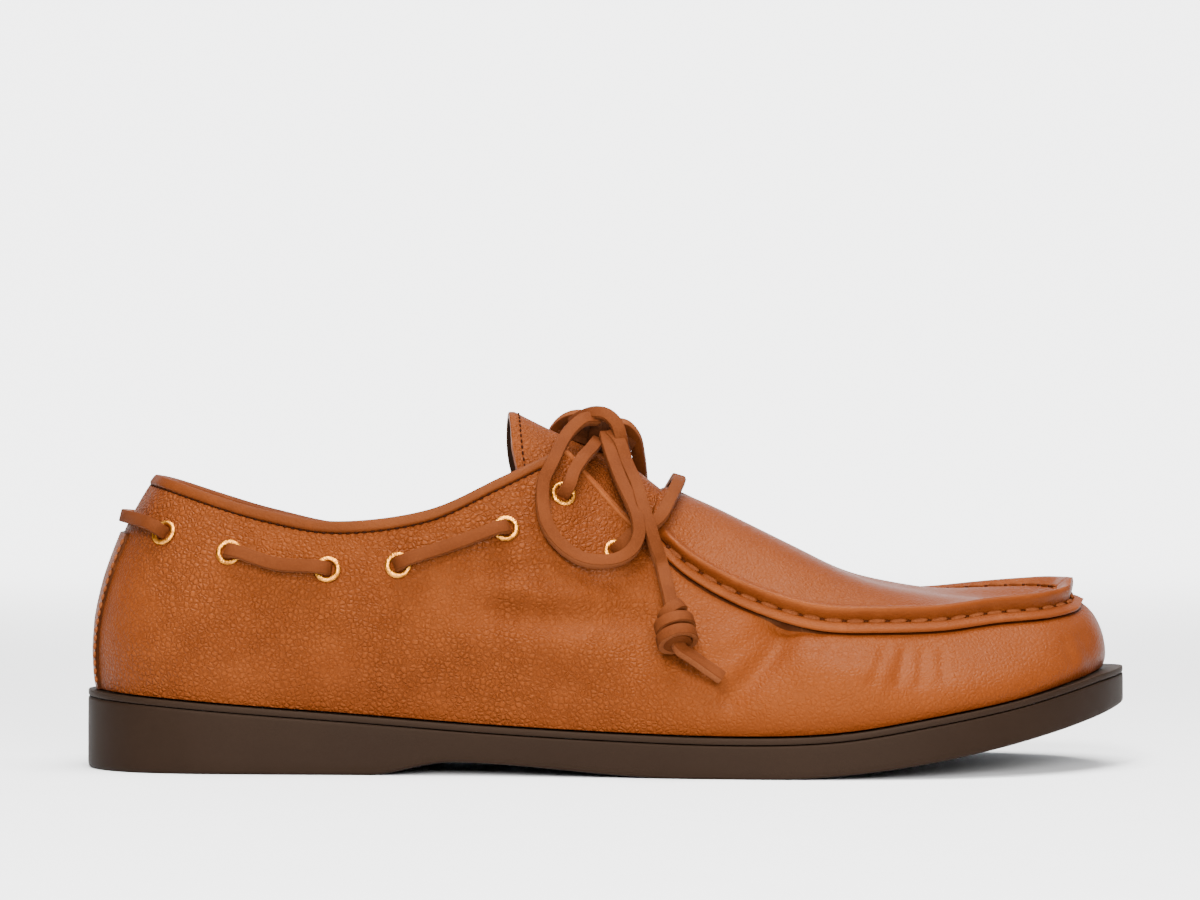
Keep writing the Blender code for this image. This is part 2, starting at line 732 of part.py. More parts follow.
def upper_columns():
    """Outer and inner points of each column of the upper, heel round to heel."""
    ribs = rib_places()
    edge = stay_edge()
    around = [(LATERAL, rib) for rib in ribs] + [(MEDIAL, rib) for rib in ribs[-2:0:-1]]
    columns = []
    for side, rib in around:
        outer = []
        inner = []
        for share in wall_shares(rib, side):
            face = wall_face(side, rib, share)
            point = wall_point(side, rib, share)
            raised = STAY_STEP if rib < edge and share < STAY_TOP else 0.0
            outer.append(point + face * raised)
            inner.append(point - face * WALL)
        inner = [inner[place] for place in range(len(inner)) if place != WALL_STEPS - 2]
        inner[0].z = outer[0].z
        front = rib > THROAT_RIB - 1e-6
        if front:
            frame = Rib(side, rib)
            outer += seam_points(side, rib)
            outer += crest_run(side, rib, CREST_STEPS)
            inner += inner_crest(side, rib, frame)
        columns.append({"side": side, "rib": rib, "outer": outer, "inner": inner, "front": front})
    return columns


def inner_crest(side, rib, frame):
    """Inner face of the apron, WALL below the outer one without its seam."""
    run = [frame.top, frame.top + frame.rise * SEAM_WIDTH] + crest_run(side, rib, CREST_STEPS - 1)
    step = 0.15
    other = max(rib - step, THROAT_RIB) if rib > TOE_RIB - step else rib + step
    beside_frame = Rib(side, other)
    beside = [beside_frame.top, beside_frame.top + beside_frame.rise * SEAM_WIDTH]
    beside += crest_run(side, other, CREST_STEPS - 1)
    sign = 1.0 if other > rib else -1.0
    made = []
    for place in range(1, len(run)):
        after = run[min(place + 1, len(run) - 1)]
        up = after - run[place - 1]
        face = ((beside[place] - run[place]) * sign).cross(up).normalized()
        if face.z < 0:
            face = -face
        if place == len(run) - 1:
            face.y = 0.0
            face.normalize()
        made.append(run[place] - face * WALL)
    return made


def build_upper(finish, where):
    columns = upper_columns()
    bm = bmesh.new()
    outer = [[bm.verts.new(point) for point in column["outer"]] for column in columns]
    inner = [[bm.verts.new(point) for point in column["inner"]] for column in columns]
    count = len(columns)
    for place in range(1, count):
        partner = count - place
        if columns[place]["front"] and place < partner:
            for runs in (outer, inner):
                bm.verts.remove(runs[partner][-1])
                runs[partner][-1] = runs[place][-1]
    outer_wall = len(wall_shares(0.0, LATERAL))
    inner_wall = outer_wall - 1
    for place in range(count):
        after = (place + 1) % count
        both = columns[place]["front"] and columns[after]["front"]
        outer_rows = None if both else outer_wall
        inner_rows = None if both else inner_wall
        strip(bm, outer[after][:outer_rows], outer[place][:outer_rows])
        strip(bm, inner[place][:inner_rows], inner[after][:inner_rows])
        bm.faces.new((outer[place][0], inner[place][0], inner[after][0], outer[after][0]))
        if not both:
            bm.faces.new((
                outer[place][outer_wall - 1],
                outer[after][outer_wall - 1],
                inner[after][inner_wall - 1],
                inner[place][inner_wall - 1],
            ))
    for place in range(count):
        if columns[place]["rib"] == THROAT_RIB:
            first = outer[place][outer_wall - 1:]
            second = inner[place][inner_wall - 1:]
            if columns[place]["side"] == LATERAL:
                zip_faces(bm, second, first)
            else:
                zip_faces(bm, first, second)
    bmesh.ops.triangulate(bm, faces=bm.faces)
    bmesh.ops.recalc_face_normals(bm, faces=bm.faces)
    return object_from_bmesh("upper", bm, finish, where)


# Pieces on the upper

def top_ring():
    """Places on the collar, from one end of the binding round the heel to the other."""
    even = [TOE_RIB * crowded(step / SIDE_STEPS) for step in range(SIDE_STEPS + 1)]
    ribs = [rib for rib in even if rib < BINDING_END - 0.15] + [BINDING_END]
    return [(LATERAL, rib) for rib in ribs[::-1]] + [(MEDIAL, rib) for rib in ribs[1:]]


def build_binding(finish, where):
    """Rolled leather that caps the collar."""
    half_width = WALL / 2 + BINDING_PROUD
    half_height = BINDING_HEIGHT / 2
    section = ((-1.0, -1.0), (1.0, -1.0), (1.0, 0.35), (0.45, 1.0), (-0.45, 1.0), (-1.0, 0.35))
    bm = bmesh.new()
    rings = []
    for side, rib in top_ring():
        frame = Rib(side, rib)
        face = wall_face(side, rib, 1.0)
        middle = frame.top - frame.rise * half_height - face * WALL / 2
        rings.append([
            bm.verts.new(middle + face * out * half_width + frame.rise * up * half_height)
            for out, up in section
        ])
    close_tube(bm, rings)
    return object_from_bmesh("collar_binding", bm, finish, where)


def close_tube(bm, rings):
    """Faces round a run of rings, with both ends closed."""
    count = len(rings[0])
    for low, high in zip(rings, rings[1:]):
        for place in range(count):
            after = (place + 1) % count
            bm.faces.new((low[place], low[after], high[after], high[place]))
    bm.faces.new(rings[0][::-1])
    bm.faces.new(rings[-1])
    bmesh.ops.recalc_face_normals(bm, faces=bm.faces)


def tongue_height(x):
    along = x / LENGTH + 0.5
    keys = [row[0] for row in TONGUE_LINE][::-1]
    values = [row[1] for row in TONGUE_LINE][::-1]
    return LOWEST_EDGE + COLLAR_HEIGHT * curve_value(keys, values, along)


def build_tongue(finish, where):
    """Arched leather tongue from under the apron to its free top."""
    root = (TONGUE_LINE[0][0] - 0.5) * LENGTH
    top = (TONGUE_LINE[-1][0] - 0.5) * LENGTH
    bm = bmesh.new()
    rows = []
    for step in range(TONGUE_STEPS + 1):
        share = step / TONGUE_STEPS
        row = []
        for place in range(TONGUE_SPANS + 1):
            across = 2 * place / TONGUE_SPANS - 1
            rounding = TONGUE_ROUNDING * share ** 6 * abs(across) ** 5
            x = root + (top - root) * share - TONGUE_LEAN * share * (across + 1) / 2 + rounding
            y = across * (TONGUE_HALF + (TONGUE_TOP_HALF - TONGUE_HALF) * share)
            drop = TONGUE_DROP * (abs(y) / TONGUE_HALF) ** TONGUE_CURVE
            row.append(bm.verts.new((x, y, tongue_height(x) - drop)))
        rows.append(row)
    for low, high in zip(rows, rows[1:]):
        strip(bm, low, high)
    bmesh.ops.recalc_face_normals(bm, faces=bm.faces)
    if sum(face.normal.z for face in bm.faces) < 0:
        bmesh.ops.reverse_faces(bm, faces=bm.faces)
    made = object_from_bmesh("tongue", bm, finish, where)
    wall = made.modifiers.new("wall", "SOLIDIFY")
    wall.thickness = TONGUE_THICKNESS
    wall.offset = -1.0
    return made


class Eye:
    """Place of an eyelet: point and outward direction of the leather."""

    def __init__(self, side, along, up):
        x = (along - 0.5) * LENGTH
        z = LOWEST_EDGE + COLLAR_HEIGHT * up
        rib, share = find_on_wall(side, x, z)
        self.point = wall_point(side, rib, share)
        self.face = wall_face(side, rib, share)


def build_eyelet(name, eye, finish, where):
    """Turned brass ring with its tube through the leather."""
    hole = EYELET_HOLE / 2
    tube = hole + EYELET_TUBE
    rim = EYELET_WIDTH / 2
    profile = (
        (tube, EYELET_SEAT),
        (rim, EYELET_SEAT),
        (rim - 0.25 * MM, EYELET_SEAT + 0.6 * EYELET_RIM),
        ((hole + rim) / 2, EYELET_SEAT + EYELET_RIM),
        (hole, EYELET_SEAT + 0.5 * EYELET_RIM),
        (hole, -WALL),
        (tube, -WALL),
    )
    bm = bmesh.new()
    verts = [bm.verts.new((radius, 0.0, height)) for radius, height in profile]
    for place, vert in enumerate(verts):
        bm.edges.new((vert, verts[place - 1]))
    made = object_from_bmesh(name, bm, finish, where)
    turn = made.modifiers.new("turn", "SCREW")
    turn.steps = EYELET_SIDES
    turn.render_steps = EYELET_SIDES
    turn.use_merge_vertices = True
    turn.merge_threshold = 0.00001
    made.matrix_world = Matrix.Translation(eye.point) @ eye.face.to_track_quat("Z", "Y").to_matrix().to_4x4()
    return made


def eyelet_cutter(eye, where):
    bm = bmesh.new()
    radius = EYELET_HOLE / 2 + EYELET_TUBE + GAP
    bmesh.ops.create_cone(
        bm, cap_ends=True, segments=EYELET_SIDES, radius1=radius, radius2=radius, depth=4 * WALL,
        matrix=Matrix.Translation(eye.point) @ eye.face.to_track_quat("Z", "Y").to_matrix().to_4x4(),
    )
    return cutter_object("eyelet_hole", bm, where)


def out_of_eyelet(eye, towards):
    """First stops of a lace that leaves an eyelet and turns over its rim."""
    way = towards - eye.point
    way -= eye.face * way.dot(eye.face)
    way.normalize()
    stops = []
    for up, along in EYELET_TURN:
        stops.append((eye.point + (eye.face * up + way * along) * LACE_THICKNESS, eye.face))
    return stops


def wall_stop(side, x, z, lift):
    rib, share = find_on_wall(side, x, z)
    face = wall_face(side, rib, share)
    return wall_point(side, rib, share) + face * lift, face


def build_lace(name, stops, finish, where):
    """Flat lace through stops. Each stop is a point and the way that the lace's flat side faces."""
    fine = smooth_path([point for point, _ in stops], 1.0 * MM)
    total = sum((b - a).length for a, b in zip(fine, fine[1:]))
    path = spaced(fine, max(3, round(total / LACE_STEP)))
    section = ((1.0, 0.0), (0.6, 1.0), (-0.6, 1.0), (-1.0, 0.0), (-0.6, -1.0), (0.6, -1.0))
    across = []
    for place, point in enumerate(path):
        way = path[min(place + 1, len(path) - 1)] - path[max(place - 1, 0)]
        near = sorted(stops, key=lambda stop: (stop[0] - point).length)[:2]
        weights = [1.0 / ((stop[0] - point).length + 0.5 * MM) for stop in near]
        face = sum((stop[1] * weight for stop, weight in zip(near, weights)), Vector())
        side = face.normalized().cross(way.normalized())
        across.append((way.normalized(), side if side.length > 0.5 else None))
    known = [place for place, pair in enumerate(across) if pair[1] is not None]
    bm = bmesh.new()
    rings = []
    for place, point in enumerate(path):
        way, side = across[place]
        if side is None:
            side = across[min(known, key=lambda other: abs(other - place))][1]
        side = (side - way * side.dot(way)).normalized()
        face = way.cross(side)
        rings.append([
            bm.verts.new(point + side * a * LACE_WIDTH / 2 + face * b * LACE_THICKNESS / 2)
            for a, b in section
        ])
    close_tube(bm, rings)
    return object_from_bmesh(name, bm, finish, where)


def placed(route):
    """Points of a lace's route on the lateral side, in metres."""
    made = []
    for along, out, up in route:
        made.append(Vector(((along - 0.5) * LENGTH, -out * BALL_WIDTH / 2, LOWEST_EDGE + up * COLLAR_HEIGHT)))
    return made


def mirrored(route):
    """Points of the same route on the big-toe side, where the lower wall stands steeper."""
    made = []
    for point, (_, _, up) in zip(placed(route), route):
        inwards = STEEP_INSET * smooth_step((STEEP_TOP - up) / STEEP_SPAN)
        made.append(Vector((point.x, -point.y - inwards, point.z)))
    return made


def facing(points, face):
    return [(point, face) for point in points]


def build_span(name, first, second, side, sag, finish, where):
    """Lace between two eyelets on the outside of the collar."""
    mid = first.point.lerp(second.point, 0.5)
    middle = wall_stop(side, mid.x, mid.z - sag, 2.2 * MM)
    stops = out_of_eyelet(first, middle[0]) + [middle] + out_of_eyelet(second, middle[0])[::-1]
    return build_lace(name, stops, finish, where)


def build_heel_lace(eyes, finish, where):
    """Lace round the back of the heel, standing off the leather."""
    back_face = Vector((-1.0, 0.0, 0.25)).normalized()
    back = wall_point(LATERAL, 0.0, HEEL_LACE_SHARE) + back_face * (LACE_THICKNESS / 2 + HEEL_LACE_OFF)
    near = back + HEEL_LACE_TURN
    far = Vector((near.x, -near.y, near.z))
    near_face = Vector((-0.85, -0.5, 0.2)).normalized()
    far_face = Vector((-0.85, 0.5, 0.2)).normalized()
    stops = out_of_eyelet(eyes[LATERAL]["collar_1"], near)
    stops += [(near, near_face), (back, back_face), (far, far_face)]
    stops += out_of_eyelet(eyes[MEDIAL]["collar_1"], far)[::-1]
    return build_lace("lace_heel", stops, finish, where)


def build_bar(eyes, finish, where):
    """Lace over the root of the tongue, between the lower throat eyelets."""
    near = placed(BAR_ROUTE)
    far = [point + UP * BAR_MEDIAL_RISE for point in mirrored(BAR_ROUTE)]
    middle = placed([BAR_MIDDLE])[0]
    stops = out_of_eyelet(eyes[LATERAL]["throat_lower"], near[0])
    stops += facing(near, Vector((0.2, -0.7, 0.7)))[:3]
    stops += facing(near[3:] + [middle] + far[:2:-1], Vector((0.3, 0.0, 1.0)))
    stops += facing(far[2::-1], Vector((0.2, 0.7, 0.7)))
    stops += out_of_eyelet(eyes[MEDIAL]["throat_lower"], far[0])[::-1]
    return build_lace("lace_bar", stops, finish, where)


def build_knot(finish, where):
    middle = placed([KNOT_PLACE])[0]
    bm = bmesh.new()
    bmesh.ops.create_uvsphere(bm, u_segments=10, v_segments=6, radius=0.5)
    for vert in bm.verts:
        vert.co = Vector((vert.co.x * KNOT_LENGTH, vert.co.y * KNOT_WIDTH, vert.co.z * KNOT_HEIGHT)) + middle
    return object_from_bmesh("lace_knot", bm, finish, where)


def build_stopper(name, start, end, finish, where):
    """Wound knot near the end of a lace: a turned solid with three turns."""
    bm = bmesh.new()
    length = (end - start).length
    radius = STOPPER_WIDTH / 2
    shape = ((0.0, 0.0), (0.62, 0.0), (0.80, 0.14), (0.66, 0.33), (1.0, 0.5), (0.84, 0.66), (1.0, 0.83), (0.6, 1.0),
             (0.0, 1.0))
    verts = [bm.verts.new((out * radius, 0.0, -along * length)) for out, along in shape]
    for first, second in zip(verts, verts[1:]):
        bm.edges.new((first, second))
    made = object_from_bmesh(name, bm, finish, where)
    turn = made.modifiers.new("turn", "SCREW")
    turn.steps = EYELET_SIDES - 2
    turn.render_steps = EYELET_SIDES - 2
    turn.use_merge_vertices = True
    turn.merge_threshold = 0.00001
    made.matrix_world = Matrix.Translation(start) @ (start - end).to_track_quat("Z", "Y").to_matrix().to_4x4()
    return made


def build_laces(eyes, finish, where):
    build_heel_lace(eyes, finish, where)
    for side, name in ((LATERAL, "lateral"), (MEDIAL, "medial")):
        spots = eyes[side]
        build_span("lace_rear_" + name, spots["collar_2"], spots["collar_3"], side, 1.4 * MM, finish, where)
        build_span("lace_front_" + name, spots["collar_4"], spots["collar_5"], side, 0.0, finish, where)
        turn = placed if side == LATERAL else mirrored
        face = Vector((LOOP_FACE.x, -LOOP_FACE.y * side, LOOP_FACE.z))
        strand = turn(STRAND_ROUTE)
        stops = out_of_eyelet(spots["throat_upper"], strand[0])[:4] + facing(strand, face)
        build_lace("lace_strand_" + name, stops, finish, where)
        build_lace("lace_loop_" + name, facing(turn(LOOP_ROUTE), face), finish, where)
        build_lace("lace_end_" + name, facing(turn(END_ROUTE), face), finish, where)
        build_stopper("lace_stopper_" + name, *turn(STOPPER_ROUTE), finish, where)
        build_lace("lace_tail_" + name, facing(turn(TAIL_ROUTE), face), finish, where)
    build_bar(eyes, finish, where)
    build_knot(finish, where)


def main():
    clear_scene()
    shoe = collection("boat_shoe")
    cutters = collection("cutters")
    rubber = material("rubber_sole", (0.070, 0.038, 0.025), 0.62)
    strip_rubber = material("rubber_strip", (0.120, 0.070, 0.045), 0.58)
    leather = material("pebbled_leather", (0.430, 0.125, 0.034), 0.46)
    binding_leather = material("binding_leather", (0.400, 0.120, 0.035), 0.42)
    tongue_leather = material("tongue_leather", (0.430, 0.130, 0.038), 0.46)
    lining = material("sock_leather", (0.300, 0.130, 0.055), 0.60)
    rawhide = material("rawhide_lace", (0.420, 0.150, 0.055), 0.55)
    brass = material("brass_eyelet", (0.780, 0.520, 0.170), 0.25, 1.0)

    build_sole(rubber, strip_rubber, shoe, cutters)
    build_insole(lining, shoe)
    upper = build_upper(leather, shoe)
    build_binding(binding_leather, shoe)
    build_tongue(tongue_leather, shoe)
    eyes = {LATERAL: {}, MEDIAL: {}}
    for side, word in ((LATERAL, "lateral"), (MEDIAL, "medial")):
        for name, along, up in EYELETS:
            eye = Eye(side, along, up)
            eyes[side][name] = eye
            cut(upper, eyelet_cutter(eye, cutters))
            build_eyelet("eyelet_" + name + "_" + word, eye, brass, shoe)
    build_laces(eyes, rawhide, shoe)


main()
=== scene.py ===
"""Looks of the boat shoe: pebbled leather, hand-sewn seam, rawhide lace, gold eyelets and rubber sole.

Metres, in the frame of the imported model: +X to the toe, +Y to the big-toe side, +Z up.
"""
import json
import math

import bmesh
import bpy
import numpy as np
from mathutils import Vector
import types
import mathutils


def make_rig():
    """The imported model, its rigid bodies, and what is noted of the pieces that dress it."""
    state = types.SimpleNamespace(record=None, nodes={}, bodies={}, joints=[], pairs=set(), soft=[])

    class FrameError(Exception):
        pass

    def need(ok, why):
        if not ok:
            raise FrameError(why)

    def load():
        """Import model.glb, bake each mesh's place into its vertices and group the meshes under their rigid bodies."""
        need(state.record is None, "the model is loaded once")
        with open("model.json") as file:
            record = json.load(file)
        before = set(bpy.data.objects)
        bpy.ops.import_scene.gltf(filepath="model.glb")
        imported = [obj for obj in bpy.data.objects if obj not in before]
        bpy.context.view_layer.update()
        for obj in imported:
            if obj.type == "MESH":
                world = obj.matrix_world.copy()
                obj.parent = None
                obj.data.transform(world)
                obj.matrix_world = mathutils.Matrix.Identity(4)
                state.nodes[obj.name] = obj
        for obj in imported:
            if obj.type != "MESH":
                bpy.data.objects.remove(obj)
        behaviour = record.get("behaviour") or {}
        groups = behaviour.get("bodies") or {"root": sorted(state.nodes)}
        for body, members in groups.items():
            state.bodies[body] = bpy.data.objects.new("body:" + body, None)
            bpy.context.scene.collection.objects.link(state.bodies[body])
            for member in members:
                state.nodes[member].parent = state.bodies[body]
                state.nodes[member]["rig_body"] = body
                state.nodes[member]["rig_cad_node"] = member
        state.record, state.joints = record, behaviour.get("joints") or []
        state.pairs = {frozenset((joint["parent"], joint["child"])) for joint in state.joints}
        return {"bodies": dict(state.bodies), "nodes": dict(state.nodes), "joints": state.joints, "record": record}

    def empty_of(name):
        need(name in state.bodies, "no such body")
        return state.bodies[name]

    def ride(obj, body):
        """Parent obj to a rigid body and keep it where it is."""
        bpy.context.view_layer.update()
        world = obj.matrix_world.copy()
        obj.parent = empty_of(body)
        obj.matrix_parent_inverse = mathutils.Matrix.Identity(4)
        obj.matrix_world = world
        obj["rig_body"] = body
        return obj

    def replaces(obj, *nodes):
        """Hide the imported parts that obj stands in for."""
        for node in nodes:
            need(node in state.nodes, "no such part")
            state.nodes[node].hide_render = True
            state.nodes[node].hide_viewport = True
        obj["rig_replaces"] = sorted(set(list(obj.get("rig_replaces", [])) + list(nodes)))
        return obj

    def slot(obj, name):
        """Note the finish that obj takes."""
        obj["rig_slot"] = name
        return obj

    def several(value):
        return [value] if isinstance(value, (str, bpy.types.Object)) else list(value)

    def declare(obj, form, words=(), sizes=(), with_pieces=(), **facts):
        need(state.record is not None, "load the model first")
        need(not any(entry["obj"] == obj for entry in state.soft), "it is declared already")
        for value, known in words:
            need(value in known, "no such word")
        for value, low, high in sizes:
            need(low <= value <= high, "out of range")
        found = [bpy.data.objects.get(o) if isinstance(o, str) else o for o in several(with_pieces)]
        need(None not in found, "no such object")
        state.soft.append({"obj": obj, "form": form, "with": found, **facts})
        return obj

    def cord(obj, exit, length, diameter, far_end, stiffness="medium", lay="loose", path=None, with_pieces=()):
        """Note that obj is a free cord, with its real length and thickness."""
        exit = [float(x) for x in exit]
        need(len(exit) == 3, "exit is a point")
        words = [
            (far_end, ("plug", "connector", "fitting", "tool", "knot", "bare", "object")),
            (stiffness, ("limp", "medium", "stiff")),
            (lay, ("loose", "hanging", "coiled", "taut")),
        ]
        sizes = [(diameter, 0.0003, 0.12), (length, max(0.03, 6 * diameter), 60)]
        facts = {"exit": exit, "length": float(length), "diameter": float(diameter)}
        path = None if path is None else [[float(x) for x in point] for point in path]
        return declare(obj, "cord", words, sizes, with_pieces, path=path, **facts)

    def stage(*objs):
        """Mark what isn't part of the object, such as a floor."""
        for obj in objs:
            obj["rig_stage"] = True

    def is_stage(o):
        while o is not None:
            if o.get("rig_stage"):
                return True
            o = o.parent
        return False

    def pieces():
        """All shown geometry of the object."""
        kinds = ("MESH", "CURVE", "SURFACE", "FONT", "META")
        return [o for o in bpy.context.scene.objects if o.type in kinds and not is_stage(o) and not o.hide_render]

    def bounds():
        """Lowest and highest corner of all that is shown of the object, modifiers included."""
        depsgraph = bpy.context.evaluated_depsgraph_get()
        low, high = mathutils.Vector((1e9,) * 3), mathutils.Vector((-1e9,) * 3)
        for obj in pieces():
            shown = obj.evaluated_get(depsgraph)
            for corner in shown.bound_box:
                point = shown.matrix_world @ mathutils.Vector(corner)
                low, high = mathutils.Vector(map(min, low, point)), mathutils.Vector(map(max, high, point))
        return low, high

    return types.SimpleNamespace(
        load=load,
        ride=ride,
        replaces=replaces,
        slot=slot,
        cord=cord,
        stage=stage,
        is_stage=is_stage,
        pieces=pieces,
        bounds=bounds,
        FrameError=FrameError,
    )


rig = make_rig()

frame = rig.load()
solid_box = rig.bounds()

MM = 0.001
UP = np.array((0.0, 0.0, 1.0))
LATERAL = -1
MEDIAL = 1

# Camera: level, 90 mm up, in front of the outer side
CAMERA_PLACE = (-2.0 * MM, -1140.0 * MM, 90.0 * MM)
LENS = 119.7
SENSOR = 36.0

# Paper floor and backdrop, in metres: sides, front edge, where it starts to curve up, radius, top
FLOOR_SIDE = 4.0
FLOOR_FRONT = -3.0
BACKDROP_START = 1.6
BACKDROP_RADIUS = 1.2
BACKDROP_TOP = 4.0

# Light, in metres and watts
WARM = (1.0, 0.955, 0.89)
WORLD_STRENGTH = 0.42
PAPER_GLOW = 3.5
LIGHTS = (
    # name, place, target, size, power
    ("top_softbox", (0.1, -0.15, 1.5), (0.0, 0.0, 0.0), (1.3, 0.9), 100.0),
    ("front_softbox", (0.20, -1.7, 0.60), (0.0, 0.0, 0.05), (1.0, 0.6), 80.0),
    ("key_light", (-0.35, -1.30, 1.10), (0.0, 0.0, 0.05), (0.35, 0.35), 50.0),
    ("toe_softbox", (1.5, -0.7, 0.8), (0.05, 0.0, 0.03), (0.8, 0.8), 3.0),
)

# Sizes of the shoe
LENGTH = 296 * MM
BALL_WIDTH = 107 * MM
HEEL_EDGE = 22.5 * MM
TOE_SPRING = 18.3 * MM
ARCH_RISE = 3.7 * MM
SOLE_ROUNDING = 2.6 * MM
MIDSOLE = 1.7 * MM
STRIP_INSET = 0.10 * MM
GAP = 0.3 * MM
COLLAR_HEIGHT = 60.5 * MM
WALL = 2.0 * MM
TOE_WELT = 6.0 * MM
SIDE_WELT = 2.2 * MM
HEEL_WELT = 3.2 * MM
TOE_WELT_START = 0.80          # shares of the outline from heel to toe
HEEL_WELT_END = 0.12
FLANGE_STEP = 1.4 * MM
SEAM_WIDTH = 8.3 * MM
ROLL_HEIGHT = 4.0 * MM
STAY_WIDTH = 20.0 * MM
STAY_STEP = 1.0 * MM
BINDING_HEIGHT = 3.6 * MM
BINDING_PROUD = 0.6 * MM
TONGUE_THICKNESS = 2.0 * MM
INSOLE_THICKNESS = 2.0 * MM
EYELET_WIDTH = 7.5 * MM
EYELET_HOLE = 4.3 * MM
EYELET_RIM = 0.8 * MM
EYELET_LIFT = 0.2 * MM
EYELET_TUBE = 0.4 * MM
LACE_WIDTH = 3.6 * MM
LACE_THICKNESS = 2.5 * MM
LACE_CORNER = 0.32 * MM
LACE_END_SIZE = 0.92           # size of the lace's cut ends as a share
STRIP_BEAD = 0.35 * MM
STRIP_SQUARENESS = 0.45
BINDING_SQUARENESS = 0.55

# How finely the surfaces are divided
OUTLINE_SPACING = 2 * MM
OUTLINE_SAMPLES = 600
RIB_SAMPLES = 800
SEAM_SAMPLES = 600
STITCH_SAMPLES = 500
ROW_SAMPLES = 200
SAMPLES_EACH_WAY = 5           # give the outline's direction at a sample
REAR_SPACING = 1.7 * MM
FRONT_SPACING = 0.75 * MM
CLOSEST_RIBS = 0.05
WALL_ROWS = 44
TOP_ROWS = 12
APRON_ROWS = 32
LINING_ROWS = 20
LINING_APRON_ROWS = 14
THROAT_EDGE_STEPS = 60
OUTSOLE_STEPS = 440
STRIP_STEPS = 220
SOCK_STEPS = 160
TREAD_ROWS = 61
PLAIN_ROWS = 9
BINDING_SPACING = 1.6 * MM
TONGUE_ROWS = 60
TONGUE_COLUMNS = 81
FACING_ROWS = 90
LACE_SPACING = 0.7 * MM

# Sole outline, heel to toe: share of LENGTH, then shares of half of BALL_WIDTH on each side
OUTLINE = (
    # along, lateral, medial
    (0.013, 0.290, 0.290),
    (0.045, 0.490, 0.490),
    (0.100, 0.605, 0.600),
    (0.180, 0.655, 0.635),
    (0.280, 0.690, 0.610),
    (0.380, 0.745, 0.590),
    (0.480, 0.835, 0.645),
    (0.580, 0.935, 0.800),
    (0.660, 0.990, 0.920),
    (0.730, 1.000, 0.985),
    (0.790, 0.970, 1.000),
    (0.850, 0.875, 0.960),
    (0.905, 0.715, 0.860),
    (0.950, 0.500, 0.700),
    (0.982, 0.240, 0.480),
)
TOE_TIP = 0.11

# Top edge of the sole: share of LENGTH, share of HEEL_EDGE
SOLE_EDGE = (
    # along, height
    (0.00, 1.00),
    (0.05, 0.955),
    (0.15, 0.850),
    (0.25, 0.755),
    (0.40, 0.612),
    (0.55, 0.525),
    (0.65, 0.512),
    (0.72, 0.565),
    (0.80, 0.735),
    (0.88, 0.930),
    (0.94, 1.120),
    (0.97, 1.215),
    (1.00, 1.275),
)
LOWEST_EDGE = 0.512 * HEEL_EDGE
SPREAD = 0.075                 # more of a ring's points go to the tips of the outline

# Tread: places of the broad grooves as shares of LENGTH, and the parts with wavy sipes between them
TREAD_GROOVES = (0.060, 0.110, 0.160, 0.210, 0.600, 0.650, 0.700, 0.750, 0.800, 0.850)
TREAD_PARTS = ((0.035, 0.255), (0.570, 0.900))
TREAD_DEPTH = 1.3 * MM
TREAD_WIDTH = 2.4 * MM
TREAD_MARGIN = 9.0 * MM
SIPE_DEPTH = 0.6 * MM
SIPE_PITCH = 4.93 * MM
SIPE_WAVE = 0.9 * MM
SIPE_LENGTH = 9.0 * MM
SIPE_WIDTH = 0.8 * MM
SIPE_CLEAR = 2.6 * MM          # from the middle of a broad groove
TREAD_FLANK = 0.6 * MM
TREAD_FADE = 1.0 * MM
PART_FADE = 0.01
HEEL_END = 0.275
ARCH_TOP = 0.353
ARCH_END = 0.570
SPRING_START = 0.655
SPRING_CURVE = 1.64

